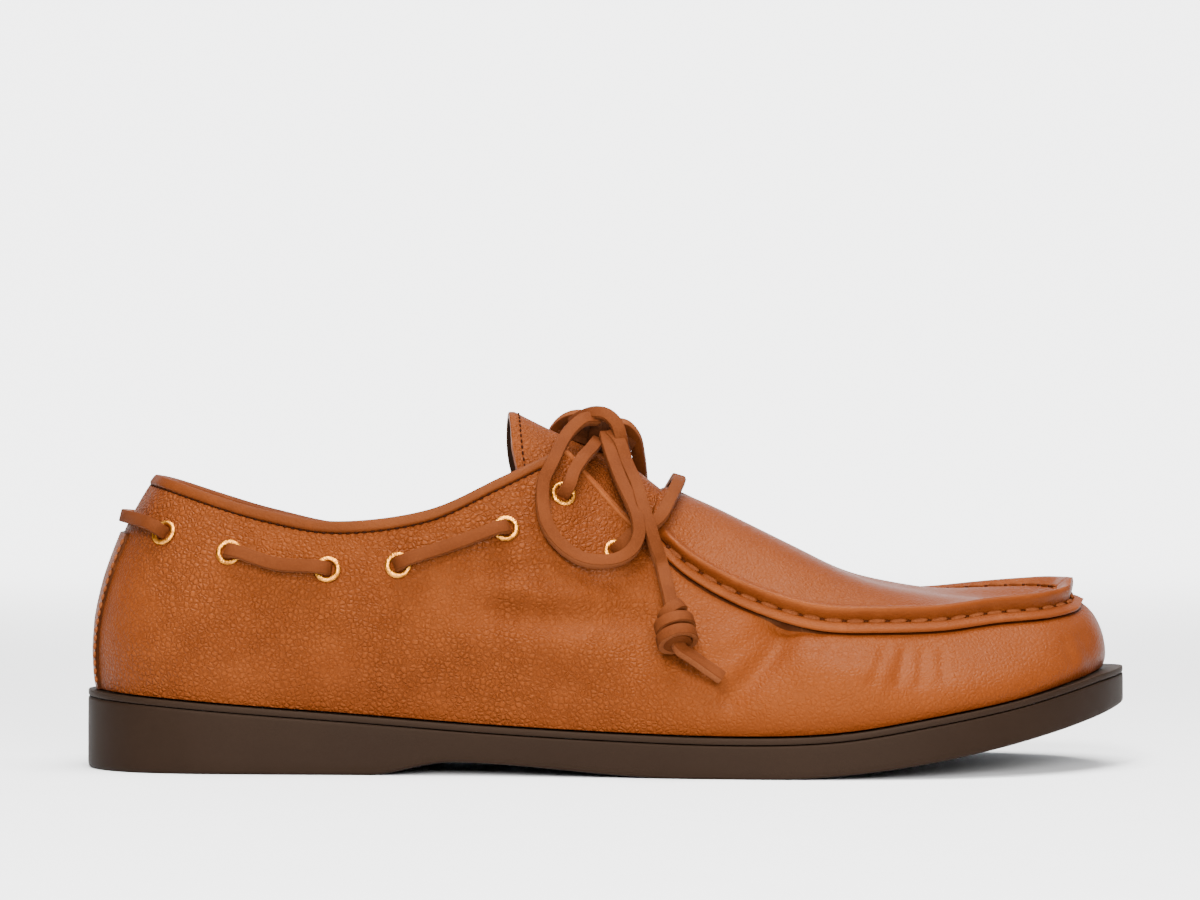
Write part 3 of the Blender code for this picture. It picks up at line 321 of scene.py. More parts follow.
# Ribs of the last, heel to toe, as in the solids
LAST_COLUMNS = (
    "around", "along", "lateral_out", "medial_out", "lateral_up", "medial_up", "tilt", "reach", "swell",
)
LAST = (
    (0.000, 0.0666, 0.000, 0.000, 1.000, 1.000, 53, 0.34, 0.0711),
    (0.070, 0.0840, 0.098, 0.098, 0.986, 0.984, 55, 0.34, 0.0711),
    (0.130, 0.1216, 0.173, 0.173, 0.946, 0.940, 60, 0.35, 0.0744),
    (0.195, 0.1770, 0.234, 0.234, 0.899, 0.885, 66, 0.35, 0.0760),
    (0.267, 0.2466, 0.280, 0.276, 0.876, 0.848, 69, 0.35, 0.0744),
    (0.340, 0.3310, 0.290, 0.285, 0.960, 0.925, 68, 0.35, 0.0744),
    (0.398, 0.3986, 0.258, 0.258, 1.130, 1.105, 66, 0.36, 0.0711),
    (0.440, 0.4460, 0.214, 0.214, 1.250, 1.235, 63, 0.38, 0.0661),
    (0.463, 0.4610, 0.194, 0.194, 1.262, 1.250, 62, 0.38, 0.0661),
    (0.485, 0.4850, 0.198, 0.198, 1.137, 1.128, 61, 0.40, 0.0694),
    (0.510, 0.5135, 0.215, 0.215, 0.985, 0.990, 60, 0.40, 0.0744),
    (0.532, 0.5405, 0.243, 0.243, 0.873, 0.893, 60, 0.40, 0.0826),
    (0.558, 0.5726, 0.285, 0.290, 0.722, 0.763, 59, 0.42, 0.0826),
    (0.600, 0.6216, 0.327, 0.336, 0.585, 0.634, 57, 0.44, 0.0826),
    (0.660, 0.6890, 0.355, 0.374, 0.463, 0.521, 55, 0.46, 0.0744),
    (0.718, 0.7530, 0.346, 0.379, 0.400, 0.458, 52, 0.46, 0.0661),
    (0.777, 0.8110, 0.304, 0.355, 0.348, 0.402, 48, 0.46, 0.0595),
    (0.835, 0.8630, 0.234, 0.304, 0.318, 0.368, 43, 0.46, 0.0529),
    (0.893, 0.9150, 0.168, 0.252, 0.280, 0.328, 38, 0.45, 0.0496),
    (0.948, 0.9480, 0.068, 0.158, 0.272, 0.304, 33, 0.42, 0.0463),
    (1.000, 0.9600, -0.042, 0.042, 0.300, 0.300, 30, 0.36, 0.0430),
)
BINDING_END = 7.35             # rib
BARE_TOP = 0.45                # ribs past it, where the leather reaches the top again
FACING_TOP = 8
THROAT_RIB = 11
TOE_RIB = 20
LOW_HANDLE = 0.30
STAY_TOP = 0.70
STAY_END = 0.012               # share of a rib over which the stay's top edge drops
STAY_DROP = 0.015              # ribs over which its side edge drops
FOOT_FADE = 0.15               # shares of a rib over which creases fade at the foot and the top
TOP_FADE = 0.04

# Handles of the apron's curve, as shares of its span
APRON_LOW_HANDLE = 0.40
APRON_HIGH_HANDLE = 0.45

# Middle line of the apron from the throat to the toe
CREST_COLUMNS = ("along", "medial", "up", "tilt")
CREST = (
    (0.5630, 0.000, 1.117, 46),
    (0.5830, 0.000, 1.073, 47),
    (0.6150, 0.005, 1.003, 46),
    (0.6820, 0.009, 0.834, 42),
    (0.7430, 0.014, 0.660, 30),
    (0.7940, 0.019, 0.560, 16),
    (0.8345, 0.028, 0.495, 6),
    (0.8650, 0.037, 0.455, 1),
    (0.8890, 0.042, 0.434, -4),
    (0.9050, 0.044, 0.425, -6),
)

# Hand-sewn seam, raw edge to inner foot: share of SEAM_WIDTH, then how proud it stands as shares of
# FLANGE_STEP and of ROLL_HEIGHT
SEAM = (
    # along, flange, roll
    (0.035, 0.04, 0.00),
    (0.015, 0.30, 0.00),
    (-0.050, 0.46, 0.00),
    (-0.075, 0.72, 0.00),
    (-0.055, 0.96, 0.00),
    (-0.010, 1.10, 0.00),
    (0.060, 1.10, 0.00),
    (0.16, 1.02, 0.00),
    (0.27, 0.96, 0.00),
    (0.34, 0.84, 0.00),
    (0.375, 0.56, 0.00),
    (0.40, 0.20, 0.00),
    (0.43, 0.05, 0.04),
    (0.455, 0.02, 0.20),
    (0.475, 0.00, 0.42),
    (0.51, 0.00, 0.66),
    (0.56, 0.00, 0.87),
    (0.62, 0.00, 0.97),
    (0.70, 0.00, 1.00),
    (0.77, 0.00, 0.95),
    (0.84, 0.00, 0.83),
    (0.90, 0.00, 0.63),
    (0.95, 0.00, 0.40),
    (1.00, 0.00, 0.16),
)

# Rows of the seam and their finish: gap under the raw edge, flange, thread groove, roll, apron. The gap and the thread
# groove take the dark finish, as painted shade
SEAM_FINISHES = ((0, 4, 2), (3, 12, 3), (11, 15, 2), (14, 25, 3), (24, None, 0))
SEAM_START = 0.9               # ribs over which the seam grows from the throat's corner
ROLL_CREST = 0.70              # share of SEAM_WIDTH where the roll is highest
TOE_RISE = 0.24                # how much higher the roll stands at the toe
RISE_RIB = 15.5                # rib where it starts to rise, and how many ribs the rise takes
RISE_SPAN = 3.5
FLAT_RIB = 18.4                # the same for the flange, which lies down at the toe
FLAT_SPAN = 1.4
FLAT_FLANGE = 0.80             # share of FLANGE_STEP that is left there
FLAT_SLOPE = 1.7               # how gently the roll's outer flank rises there
SEAM_PITCH = 6.1 * MM
SEAM_STITCH = 0.405            # share of SEAM_WIDTH where the thread lies
GATHER = 0.55 * MM             # how far a stitch pulls the leather in
GATHER_PLACE = 0.47
GATHER_WIDTH = 0.06
GATHER_REACH = 35 * MM

# Rows of hand stitches: name, first rib, share of SEAM_WIDTH, lift
SEAM_LINES = (
    ("seam", THROAT_RIB + 0.55, SEAM_STITCH, 0.95 * MM),
    ("inner_seam", 15.5, 1.02, 0.3 * MM),
)

# Length, width and height of a stitch, in millimetres
SEAM_THREAD_SIZE = (5.2, 1.7, 1.2)
SEAM_HOLE_SIZE = (1.4, 1.5, 0.9)
COLLAR_THREAD_SIZE = (1.4, 0.6, 0.4)
TONGUE_THREAD_SIZE = (1.5, 0.6, 0.5)
STAY_THREAD_SIZE = (1.9, 0.9, 0.9)
COLLAR_PITCH = 2.3 * MM
TONGUE_PITCH = 2.2 * MM
STAY_PITCH = 2.4 * MM
SEAM_HOLE_SINK = 0.25 * MM
COLLAR_THREAD_DROP = 0.2 * MM
COLLAR_THREAD_LIFT = 0.05 * MM
TONGUE_THREAD_LIFT = 0.1 * MM
TONGUE_THREAD_SHARE = 0.945
STAY_THREAD_LIFT = 0.05 * MM
STAY_THREAD_SHARE = 0.985      # share of the way to the stay's edge

# Creases: side, line as shares of LENGTH and of COLLAR_HEIGHT above the sole's lowest edge, then depth
# and width in millimetres. A ridge has a depth above zero.
CREASES = (
    # fold that runs down from the dent in the flange, and the swelling in front of it
    (LATERAL, ((0.662, 0.520), (0.682, 0.492), (0.700, 0.482)), -1.3, 2.2),
    (LATERAL, ((0.668, 0.500), (0.655, 0.400), (0.636, 0.290), (0.612, 0.180)), -2.3, 4.0),
    (LATERAL, ((0.645, 0.480), (0.625, 0.400), (0.600, 0.340)), -0.8, 3.0),
    (LATERAL, ((0.690, 0.310), (0.715, 0.280), (0.745, 0.285)), 2.3, 6.5),
    (LATERAL, ((0.625, 0.420), (0.605, 0.300)), 0.7, 6.0),
    # soft valley and ridges below the bow
    (LATERAL, ((0.400, 0.560), (0.460, 0.520), (0.530, 0.540)), -1.6, 3.8),
    (LATERAL, ((0.385, 0.665), (0.440, 0.650), (0.500, 0.640)), 0.8, 3.6),
    (LATERAL, ((0.365, 0.430), (0.425, 0.400), (0.500, 0.385)), 1.2, 6.0),
    (LATERAL, ((0.545, 0.420), (0.575, 0.300), (0.590, 0.200)), -0.9, 5.0),
    # short wrinkles between the front collar eyelet and the bow
    (LATERAL, ((0.398, 0.775), (0.432, 0.766), (0.464, 0.750)), -0.60, 1.4),
    (LATERAL, ((0.402, 0.735), (0.434, 0.728), (0.460, 0.712)), -0.60, 1.3),
    (LATERAL, ((0.396, 0.700), (0.428, 0.690), (0.470, 0.680)), -0.50, 1.3),
    # leather pushed up round the throat eyelets
    (LATERAL, ((0.446, 0.985), (0.460, 1.000)), 0.7, 3.6),
    (LATERAL, ((0.478, 0.900), (0.492, 0.885)), 0.5, 3.2),
    (LATERAL, ((0.470, 0.940), (0.485, 0.930)), -0.4, 1.6),
    # fine fan towards the toe
    (LATERAL, ((0.757, 0.375), (0.745, 0.235)), -0.50, 1.5),
    (LATERAL, ((0.776, 0.375), (0.768, 0.240)), -0.50, 1.4),
    (LATERAL, ((0.794, 0.370), (0.790, 0.245)), -0.45, 1.4),
    (LATERAL, ((0.812, 0.370), (0.812, 0.255)), -0.40, 1.3),
    # pull at the toe's end of the seam
    (LATERAL, ((0.955, 0.420), (0.962, 0.330), (0.960, 0.230)), -0.7, 2.6),
    (LATERAL, ((0.935, 0.400), (0.940, 0.320)), -0.4, 2.0),
    (MEDIAL, ((0.660, 0.560), (0.645, 0.420), (0.625, 0.300)), -1.2, 4.5),
    (MEDIAL, ((0.690, 0.360), (0.730, 0.330)), 0.9, 8.0),
    (MEDIAL, ((0.400, 0.560), (0.460, 0.520), (0.530, 0.540)), -0.8, 4.2),
    (MEDIAL, ((0.365, 0.430), (0.425, 0.400), (0.500, 0.385)), 0.7, 6.5),
    (MEDIAL, ((0.398, 0.775), (0.432, 0.766), (0.464, 0.750)), -0.40, 1.5),
)
CREASE_SPACING = 1.2 * MM
RIPPLE_LENGTH = 9.0 * MM       # soft unevenness along the shoe and up it, slow and quick
RIPPLE_HEIGHT = 7.5 * MM
SLOW_RIPPLE = 0.16 * MM
QUICK_RIPPLE = 0.07 * MM

# Eyelets on each side: share of LENGTH, then share of COLLAR_HEIGHT above the sole's lowest edge
EYELETS = (
    ("collar_1", 0.0800, 0.912),
    ("collar_2", 0.1440, 0.825),
    ("collar_3", 0.2380, 0.750),
    ("collar_4", 0.3045, 0.770),
    ("collar_5", 0.4050, 0.937),
    ("throat_upper", 0.4585, 1.093),
    ("throat_lower", 0.5090, 0.829),
)

# Middle line of the tongue, root to top: share of LENGTH, share of COLLAR_HEIGHT as above
TONGUE_LINE = (
    (0.5810, 1.012),
    (0.5640, 1.064),
    (0.5470, 1.132),
    (0.5270, 1.205),
    (0.5000, 1.272),
    (0.4660, 1.345),
    (0.4360, 1.415),
    (0.4105, 1.478),
)
TONGUE_HALF = 0.2523 * BALL_WIDTH
TONGUE_TOP_HALF = 0.1963 * BALL_WIDTH
TONGUE_DROP = 0.4876 * COLLAR_HEIGHT
TONGUE_CURVE = 1.9
TONGUE_ROUNDING = 2.5 * MM
TONGUE_LEAN = 3.4 * MM
TONGUE_EDGE = 0.35 * MM

# Lace routes on the lateral side: share of LENGTH, share of half of BALL_WIDTH outwards, then share
# of COLLAR_HEIGHT above the lowest edge of the sole. The other side mirrors them.
STRAND_ROUTE = (
    (0.4682, 0.4785, 1.1914), (0.4757, 0.4224, 1.2509), (0.4838, 0.2766, 1.2939), (0.4912, 0.1121, 1.3402),
)
BAR_ROUTE = (
    (0.5230, 0.5495, 0.9071), (0.5372, 0.5234, 0.9336), (0.5493, 0.5047, 0.9831), (0.5581, 0.3963, 1.0526),
    (0.5649, 0.2299, 1.1137), (0.5686, 0.0935, 1.1451),
)
BAR_MIDDLE = (0.5696, 0.0000, 1.1517)
BAR_MEDIAL_RISE = 1.0 * MM
SPAN_LIFT = 2.2 * MM           # from the wall to the middle of a lace on the collar
REAR_SPAN_SAG = 1.4 * MM
HEEL_LACE_SHARE = 0.775
HEEL_LACE_OFF = 0.7 * MM
HEEL_LACE_TURN = np.array((2.8, -9.0, -0.4)) * MM
LOOP_ROUTE = (
    (0.4912, 0.0991, 1.4420), (0.4784, 0.1570, 1.4400), (0.4655, 0.2467, 1.3906), (0.4571, 0.3551, 1.3300),
    (0.4520, 0.4673, 1.2780), (0.4470, 0.5196, 1.2250), (0.4405, 0.5570, 1.1550), (0.4393, 0.5981, 1.0625),
    (0.4426, 0.6393, 0.9683), (0.4514, 0.6692, 0.8906), (0.4662, 0.6841, 0.8261), (0.4801, 0.6879, 0.7947),
    (0.4959, 0.6804, 0.7864), (0.5118, 0.6692, 0.7997), (0.5233, 0.6579, 0.8393), (0.5291, 0.6355, 0.8988),
    (0.5287, 0.5944, 0.9699), (0.5237, 0.5084, 1.0426), (0.5150, 0.4112, 1.1302), (0.5065, 0.2904, 1.2344),
    (0.5012, 0.2100, 1.3138), (0.4980, 0.1500, 1.3750),
)
FAR_LOOP_START = (
    (0.4925, 0.0900, 1.4420), (0.4700, 0.1900, 1.4560), (0.4560, 0.2840, 1.4260), (0.4470, 0.3700, 1.3600),
)
FAR_LOOP_END = (
    (0.5330, 0.5600, 0.9900), (0.5345, 0.4600, 1.0800), (0.5335, 0.3500, 1.1700), (0.5310, 0.2500, 1.2700),
    (0.5270, 0.1800, 1.3550), (0.5180, 0.1200, 1.4080), (0.5080, 0.0700, 1.4200),
)
END_ROUTE = (
    (0.5030, 0.1500, 1.3800), (0.5109, 0.1970, 1.3370), (0.5185, 0.2620, 1.2344), (0.5274, 0.3930, 1.1350),
    (0.5336, 0.5230, 1.0323), (0.5405, 0.6000, 0.9300), (0.5455, 0.6190, 0.8476), (0.5507, 0.6093, 0.7715),
    (0.5544, 0.6879, 0.6955), (0.5591, 0.7981, 0.5914),
)
STOPPER_ROUTE = (
    (0.5595, 0.8075, 0.5798), (0.5655, 0.9346, 0.4046),
)
TAIL_ROUTE = (
    (0.5679, 0.9380, 0.3970), (0.5762, 0.9540, 0.3700), (0.5910, 0.9450, 0.3190), (0.6060, 0.9450, 0.2670),
)
STOPPER_INSIDE = (0.35, 0.75)  # stops of the lace inside its stopper, as shares of the stopper's length
STOPPER_OUT = 0.5 * MM         # how far its turns stand out in front of the lace
STOPPER_CORE = 3.9 * MM
EYELET_TURN = ((-0.40, 0.0), (0.24, 0.02), (0.84, 0.24), (1.24, 0.88), (1.28, 1.68))
FACE_CLEAR = 0.35              # least sine between a lace's way and its face where the face counts
LOOP_FACE = np.array((0.15, -0.80, 0.58))
TAIL_FACE = np.array((0.30, -0.62, 0.72))
STEEP_INSET = 2.4 * MM
STEEP_TOP = 0.669
STEEP_SPAN = 0.198
KNOT_PLACE = (0.4993, 0.0000, 1.3931)
# Band over the top of the bow, with the same three shares
BAND_ROUTE = (
    (0.4660, -0.0300, 1.4200), (0.4765, 0.0560, 1.4530), (0.4890, 0.1250, 1.4700), (0.5000, 0.1640, 1.4600),
    (0.5085, 0.1860, 1.4200), (0.5125, 0.1900, 1.3650), (0.5145, 0.1600, 1.3100), (0.5175, 0.1000, 1.2650),
)
SHADED_SCALE = 1.15
# Strands in the shade inside the bow, painted dark as painted shade
SHADED_ROUTES = (
    ((0.456, -0.06, 1.355), (0.464, -0.03, 1.365), (0.472, 0.00, 1.360), (0.482, 0.00, 1.345)),
    ((0.480, -0.05, 1.328), (0.488, -0.04, 1.320), (0.496, -0.03, 1.310), (0.506, -0.03, 1.305)),
    ((0.509, -0.10, 1.350), (0.514, -0.11, 1.338), (0.519, -0.12, 1.322), (0.523, -0.13, 1.305)),
)


# Arithmetic of the shape

def smooth_step(value):
    value = np.clip(value, 0.0, 1.0)
    return value * value * (3.0 - 2.0 * value)


def unit(vectors):
    return vectors / np.maximum(np.linalg.norm(vectors, axis=-1, keepdims=True), 1e-12)


def dot(first, second):
    return np.sum(first * second, axis=-1, keepdims=True)


def curve_value(keys, values, key):
    """Smooth curve through (key, value) pairs, with slopes from the neighbours."""
    keys = np.asarray(keys, float)
    values = np.asarray(values, float)
    key = np.clip(np.asarray(key, float), keys[0], keys[-1])
    place = np.searchsorted(keys[1:-1], key, side="left")
    after = np.minimum(np.arange(len(keys)) + 1, len(keys) - 1)
    before = np.maximum(np.arange(len(keys)) - 1, 0)
    slopes = (values[after] - values[before]) / (keys[after] - keys[before])
    span = keys[place + 1] - keys[place]
    share = (key - keys[place]) / span
    cube = share ** 3
    square = share ** 2
    return (
        (2 * cube - 3 * square + 1) * values[place]
        + (cube - 2 * square + share) * slopes[place] * span
        + (3 * square - 2 * cube) * values[place + 1]
        + (cube - square) * slopes[place + 1] * span
    )


def bend(start, low, high, end, share):
    """Points at shares along a cubic curve with two handles."""
    rest = 1.0 - share
    return start * rest ** 3 + low * 3 * rest ** 2 * share + high * 3 * rest * share ** 2 + end * share ** 3


def smooth_path(points, spacing, closed=False):
    """Points about spacing apart on a smooth curve through the given ones."""
    points = [np.asarray(point, float) for point in points]
    if closed:
        ring = [points[-1]] + points + points[:2]
        spans = len(points)
    else:
        ring = [2 * points[0] - points[1]] + points + [2 * points[-1] - points[-2]]
        spans = len(points) - 1
    fine = []
    for span in range(spans):
        a, b, c, d = ring[span:span + 4]
        knots = [0.0]
        for first, second in ((a, b), (b, c), (c, d)):
            knots.append(knots[-1] + max(np.linalg.norm(second - first), 1e-6) ** 0.5)
        steps = max(4, round(np.linalg.norm(c - b) / spacing * 4))
        t = (knots[1] + (knots[2] - knots[1]) * np.arange(steps) / steps)[:, None]

        def between(first, second, low, high):
            share = (t - low) / (high - low)
            return first + (second - first) * share

        ab = between(a, b, knots[0], knots[1])
        bc = between(b, c, knots[1], knots[2])
        cd = between(c, d, knots[2], knots[3])
        abc = between(ab, bc, knots[0], knots[2])
        bcd = between(bc, cd, knots[1], knots[3])
        fine.append(between(abc, bcd, knots[1], knots[2]))
    fine.append([points[0] if closed else points[-1]])
    return np.concatenate(fine)


def run_lengths(points):
    steps = np.linalg.norm(np.diff(points, axis=0), axis=1)
    return np.concatenate(([0.0], np.cumsum(steps)))


def read_off(wanted, keys, points):
    """Points or directions at the wanted keys."""
    return np.stack([np.interp(wanted, keys, points[:, axis]) for axis in range(3)], axis=-1)


def spaced(points, count):
    """count + 1 points at even distances along a run of points."""
    lengths = run_lengths(points)
    return read_off(np.linspace(0.0, lengths[-1], count + 1), lengths, points)


def sole_edge(x):
    """Height of the sole's top edge."""
    rows = np.array(SOLE_EDGE)
    return HEEL_EDGE * curve_value(rows[:, 0], rows[:, 1], x / LENGTH + 0.5)


def underside(x):
    """Height of the sole's underside: flat heel, arch, flat ball, toe spring."""
    along = np.asarray(x) / LENGTH + 0.5
    rise = smooth_step((along - HEEL_END) / (ARCH_TOP - HEEL_END))
    fall = smooth_step((ARCH_END - along) / (ARCH_END - ARCH_TOP))
    arch = ARCH_RISE * np.minimum(rise, fall)
    share = np.clip((along - SPRING_START) / (1.0 - SPRING_START), 0.0, 1.1)
    return arch + TOE_SPRING * share ** SPRING_CURVE


def outline_sides():
    """The two sides of the sole's outline as even runs of points from heel tip to toe tip."""
    half = BALL_WIDTH / 2
    heel = (-LENGTH / 2, 0.0, 0.0)
    toe = (LENGTH / 2, TOE_TIP * half, 0.0)
    lateral = [((row[0] - 0.5) * LENGTH, -row[1] * half, 0.0) for row in OUTLINE]
    medial = [((row[0] - 0.5) * LENGTH, row[2] * half, 0.0) for row in OUTLINE]
    loop = smooth_path([heel] + lateral + [toe] + medial[::-1], OUTLINE_SPACING, closed=True)
    tip = int(np.argmin(np.linalg.norm(loop - np.array(toe), axis=1)))
    parts = ((LATERAL, loop[:tip + 1]), (MEDIAL, loop[tip:][::-1]))
    runs = {side: spaced(part, OUTLINE_SAMPLES) for side, part in parts}
    outs = {}
    for side, run in runs.items():
        place = np.arange(len(run))
        ahead = np.minimum(place + SAMPLES_EACH_WAY, len(run) - 1)
        way = run[ahead] - run[np.maximum(place - SAMPLES_EACH_WAY, 0)]
        out = unit(np.stack((way[:, 1], -way[:, 0], 0 * way[:, 0]), axis=1)) * (-side)
        out[0] = (-1.0, 0.0, 0.0)
        out[-1] = (1.0, 0.0, 0.0)
        outs[side] = out
    return runs, outs


SIDES, SIDE_OUTS = outline_sides()


def edge_points(side, around, inset=0.0):
    """Points on the sole's outline moved in by inset, and the outline's outward directions there."""
    place = np.clip(around, 0.0, 1.0) * (len(SIDES[side]) - 1)
    rows = np.arange(len(SIDES[side]))
    point = read_off(place, rows, SIDES[side])
    out = unit(read_off(place, rows, SIDE_OUTS[side]))
    return point - out * np.asarray(inset)[..., None], out


def welt(around):
    """How far the upper stands in from the sole's outline."""
    toe = smooth_step((around - TOE_WELT_START) / (1.0 - TOE_WELT_START))
    heel = 1.0 - smooth_step(around / HEEL_WELT_END)
    return SIDE_WELT + (TOE_WELT - SIDE_WELT) * toe + (HEEL_WELT - SIDE_WELT) * heel


def last_value(name, rib):
    column = LAST_COLUMNS.index(name)
    return curve_value(range(len(LAST)), [row[column] for row in LAST], rib)


def crest_value(name, rib):
    column = CREST_COLUMNS.index(name)
    return curve_value(range(len(CREST)), [row[column] for row in CREST], rib - THROAT_RIB)


def crest_points(rib):
    x = (crest_value("along", rib) - 0.5) * LENGTH
    return np.stack((
        x,
        crest_value("medial", rib) * BALL_WIDTH,
        sole_edge(x) + crest_value("up", rib) * COLLAR_HEIGHT,
    ), axis=-1)


class Ribs:
    """Ribs of the last on one side: their feet, tops and the two handles of the wall's curve."""

    def __init__(self, side, rib):
        rib = np.clip(np.asarray(rib, float), 0.0, TOE_RIB)
        name = "lateral" if side == LATERAL else "medial"
        around = last_value("around", rib)
        self.foot, self.out = edge_points(side, around, welt(around))
        self.foot[..., 2] = sole_edge(self.foot[..., 0]) + GAP
        height = last_value(name + "_up", rib) * COLLAR_HEIGHT
        self.top = np.stack((
            (last_value("along", rib) - 0.5) * LENGTH,
            side * last_value(name + "_out", rib) * BALL_WIDTH,
            self.foot[..., 2] + height,
        ), axis=-1)
        inward = crest_points(np.maximum(rib, THROAT_RIB)) - self.top
        inward[..., 2] = 0.0
        share = smooth_step((rib - FACING_TOP) / (THROAT_RIB - FACING_TOP))[..., None]
        out = unit(self.out * (1.0 - share) - unit(inward) * share)
        tilt = np.radians(last_value("tilt", rib))[..., None]
        self.reach = last_value("reach", rib) * height
        self.rise = UP * np.sin(tilt) - out * np.cos(tilt)
        self.face = UP * np.cos(tilt) + out * np.sin(tilt)
        swell = (last_value("swell", rib) * COLLAR_HEIGHT)[..., None]
        self.low = self.foot + self.out * swell + UP * (LOW_HANDLE * height)[..., None]
        self.high = self.top - self.rise * self.reach[..., None]

    def at(self, share):
        """Points at shares up each rib."""
        points = (self.foot, self.low, self.high, self.top)
        if share.ndim == self.foot.ndim:
            points = [point[..., None, :] for point in points]
        return bend(*points, share[..., None])


def wall(side, rib, share):
    """Points of the wall and its outward directions. share has one row for each rib."""
    step = 0.02
    rib = np.asarray(rib, float)
    share = np.asarray(share, float)
    here = Ribs(side, rib)
    points = here.at(share)
    along = Ribs(side, rib + step).at(share) - Ribs(side, rib - step).at(share)
    up = here.at(np.minimum(share + step, 1.0)) - here.at(np.maximum(share - step, 0.0))
    ends = ((rib < step) | (rib > TOE_RIB - step))
    across = np.where(rib < step, -1.0, 1.0) * (1.0 if side == LATERAL else -1.0)
    square = np.stack((0 * across, across, 0 * across), axis=-1)
    if share.ndim > rib.ndim:
        ends = np.broadcast_to(ends[:, None], share.shape)
        square = np.broadcast_to(square[:, None, :], along.shape)
    along = np.where(ends[..., None], square, along)
    face = unit(np.cross(along, up)) * (1.0 if side == LATERAL else -1.0)
    return points, face


def find_on_wall(side, x, z):
    """Rib and share of the wall point with this x and z."""
    ribs = np.arange(0.0, TOE_RIB + 0.01, 0.1)
    shares = np.arange(0.05, 1.001, 0.02)
    centre_rib, centre_share = 0.0, 0.0
    for _ in range(4):
        points = Ribs(side, ribs).at(np.broadcast_to(shares, (len(ribs), len(shares))))
        far = np.hypot(points[..., 0] - x, points[..., 2] - z)
        row, column = np.unravel_index(np.argmin(far), far.shape)
        centre_rib, centre_share = ribs[row], shares[column]
        ribs = np.clip(centre_rib + (ribs - ribs.mean()) * 0.1, 0.0, TOE_RIB)
        shares = np.clip(centre_share + (shares - shares.mean()) * 0.1, 0.0, 1.0)
    return float(centre_rib), float(centre_share)


def wall_spot(side, x, z):
    """Point of the wall with this x and z, and its outward direction."""
    rib, share = find_on_wall(side, x, z)
    point, face = wall(side, np.array([rib]), np.array([share]))
    return point[0], face[0]


# Meshes

class Sheet:
    """Vertices and faces of one piece, gathered from grids of points."""

    def __init__(self):
        self.points = []
        self.faces = []
        self.finishes = []
        self.count = 0

    def add(self, points):
        points = np.asarray(points, float).reshape(-1, 3)
        first = self.count
        self.points.append(points)
        self.count += len(points)
        return first

    def grid(self, points, finish=0, flip=False, around=False):
        """Quads over a grid of points. around closes the second way into a tube."""
        rows, columns = points.shape[:2]
        index = self.add(points) + np.arange(rows * columns).reshape(rows, columns)
        self.quads(index, finish, flip, around)
        return index

    def quads(self, index, finish=0, flip=False, around=False):
        if around:
            index = np.concatenate((index, index[:, :1]), axis=1)
        a, b = index[:-1, :-1], index[1:, :-1]
        c, d = index[1:, 1:], index[:-1, 1:]
        order = (a, d, c, b) if flip else (a, b, c, d)
        faces = np.stack([part.ravel() for part in order], axis=1)
        self.faces += faces.tolist()
        self.finishes += np.broadcast_to(finish, a.shape).ravel().tolist()

    def fan(self, ring, finish=0):
        self.faces.append([int(value) for value in ring])
        self.finishes.append(finish)

    def make(self, name, finishes, merge=0.005 * MM, recalculate=True, sharp=40):
        mesh = bpy.data.meshes.new(name)
        mesh.from_pydata(np.concatenate(self.points).tolist(), [], self.faces)
        mesh.polygons.foreach_set("material_index", self.finishes)
        for finish in finishes:
            mesh.materials.append(finish)
        if merge or recalculate:
            bm = bmesh.new()
            bm.from_mesh(mesh)
            if merge:
                bmesh.ops.remove_doubles(bm, verts=bm.verts, dist=merge)
            if recalculate:
                bmesh.ops.recalc_face_normals(bm, faces=bm.faces)
            bm.to_mesh(mesh)
            bm.free()
        mesh.shade_smooth()
        mesh.set_sharp_from_angle(angle=math.radians(sharp))
        made = bpy.data.objects.new(name, mesh)
        bpy.context.scene.collection.objects.link(made)
        return made


def rounded_strip(radius=LACE_CORNER, steps=3):
    """Section of the lace: a rectangle with soft corners, in halves of its width and thickness."""
    half_width = LACE_WIDTH / 2
    half_thick = LACE_THICKNESS / 2
    made = []
    for turn, (across, up) in enumerate(((1, 1), (-1, 1), (-1, -1), (1, -1))):
        for step in range(steps):
            angle = math.radians(90 * turn + 90 * step / (steps - 1))
            made.append((
                across * (half_width - radius) + radius * math.cos(angle),
                up * (half_thick - radius) + radius * math.sin(angle),
            ))
    return np.array(made)


LACE_SECTION = rounded_strip()
# Finish of each face round the lace's section: 0 for its two broad faces, 1 for its two cut edges, lighter as the raw
# cut and as painted highlight
LACE_FACES = np.array((0, 0, 0, 0, 0, 1, 0, 0, 0, 0, 0, 1))


def sweep(sheet, path, sides, section, finish=0, ends=1.0):
    """Tube of a section along a path, with closed ends in the finish of its last face."""
    way = unit(np.gradient(path, axis=0))
    sides = unit(sides - way * dot(sides, way))
    tops = np.cross(way, sides)
    size = np.ones(len(path))
    size[0] = size[-1] = ends
    rings = path[:, None, :] + (
        sides[:, None, :] * section[None, :, :1] + tops[:, None, :] * section[None, :, 1:]
    ) * size[:, None, None]
    index = sheet.grid(rings, finish, around=True)
    cap = int(np.ravel(finish)[-1])
    sheet.fan(index[0][::-1], cap)
    sheet.fan(index[-1], cap)


def lace_path(stops):
    """Even points along a lace, and the way its width lies, from stops of point and face."""
    points = np.array([point for point, _ in stops])
    faces = np.array([face for _, face in stops])
    fine = smooth_path(points, 1.0 * MM)
    total = run_lengths(fine)[-1]
    path = spaced(fine, max(4, round(total / LACE_SPACING)))
    nearest = [int(np.argmin(np.linalg.norm(path - point, axis=1))) for point in points]
    nearest = np.maximum.accumulate(nearest)
    rows = np.arange(len(path))
    face = unit(read_off(rows, nearest, faces))
    side = np.cross(face, unit(np.gradient(path, axis=0)))
    # Where the lace runs nearly along its face, the width's way comes from the points beside
    known = np.flatnonzero(np.linalg.norm(side, axis=1) > FACE_CLEAR)
    return path, unit(read_off(rows, known, side[known])), total


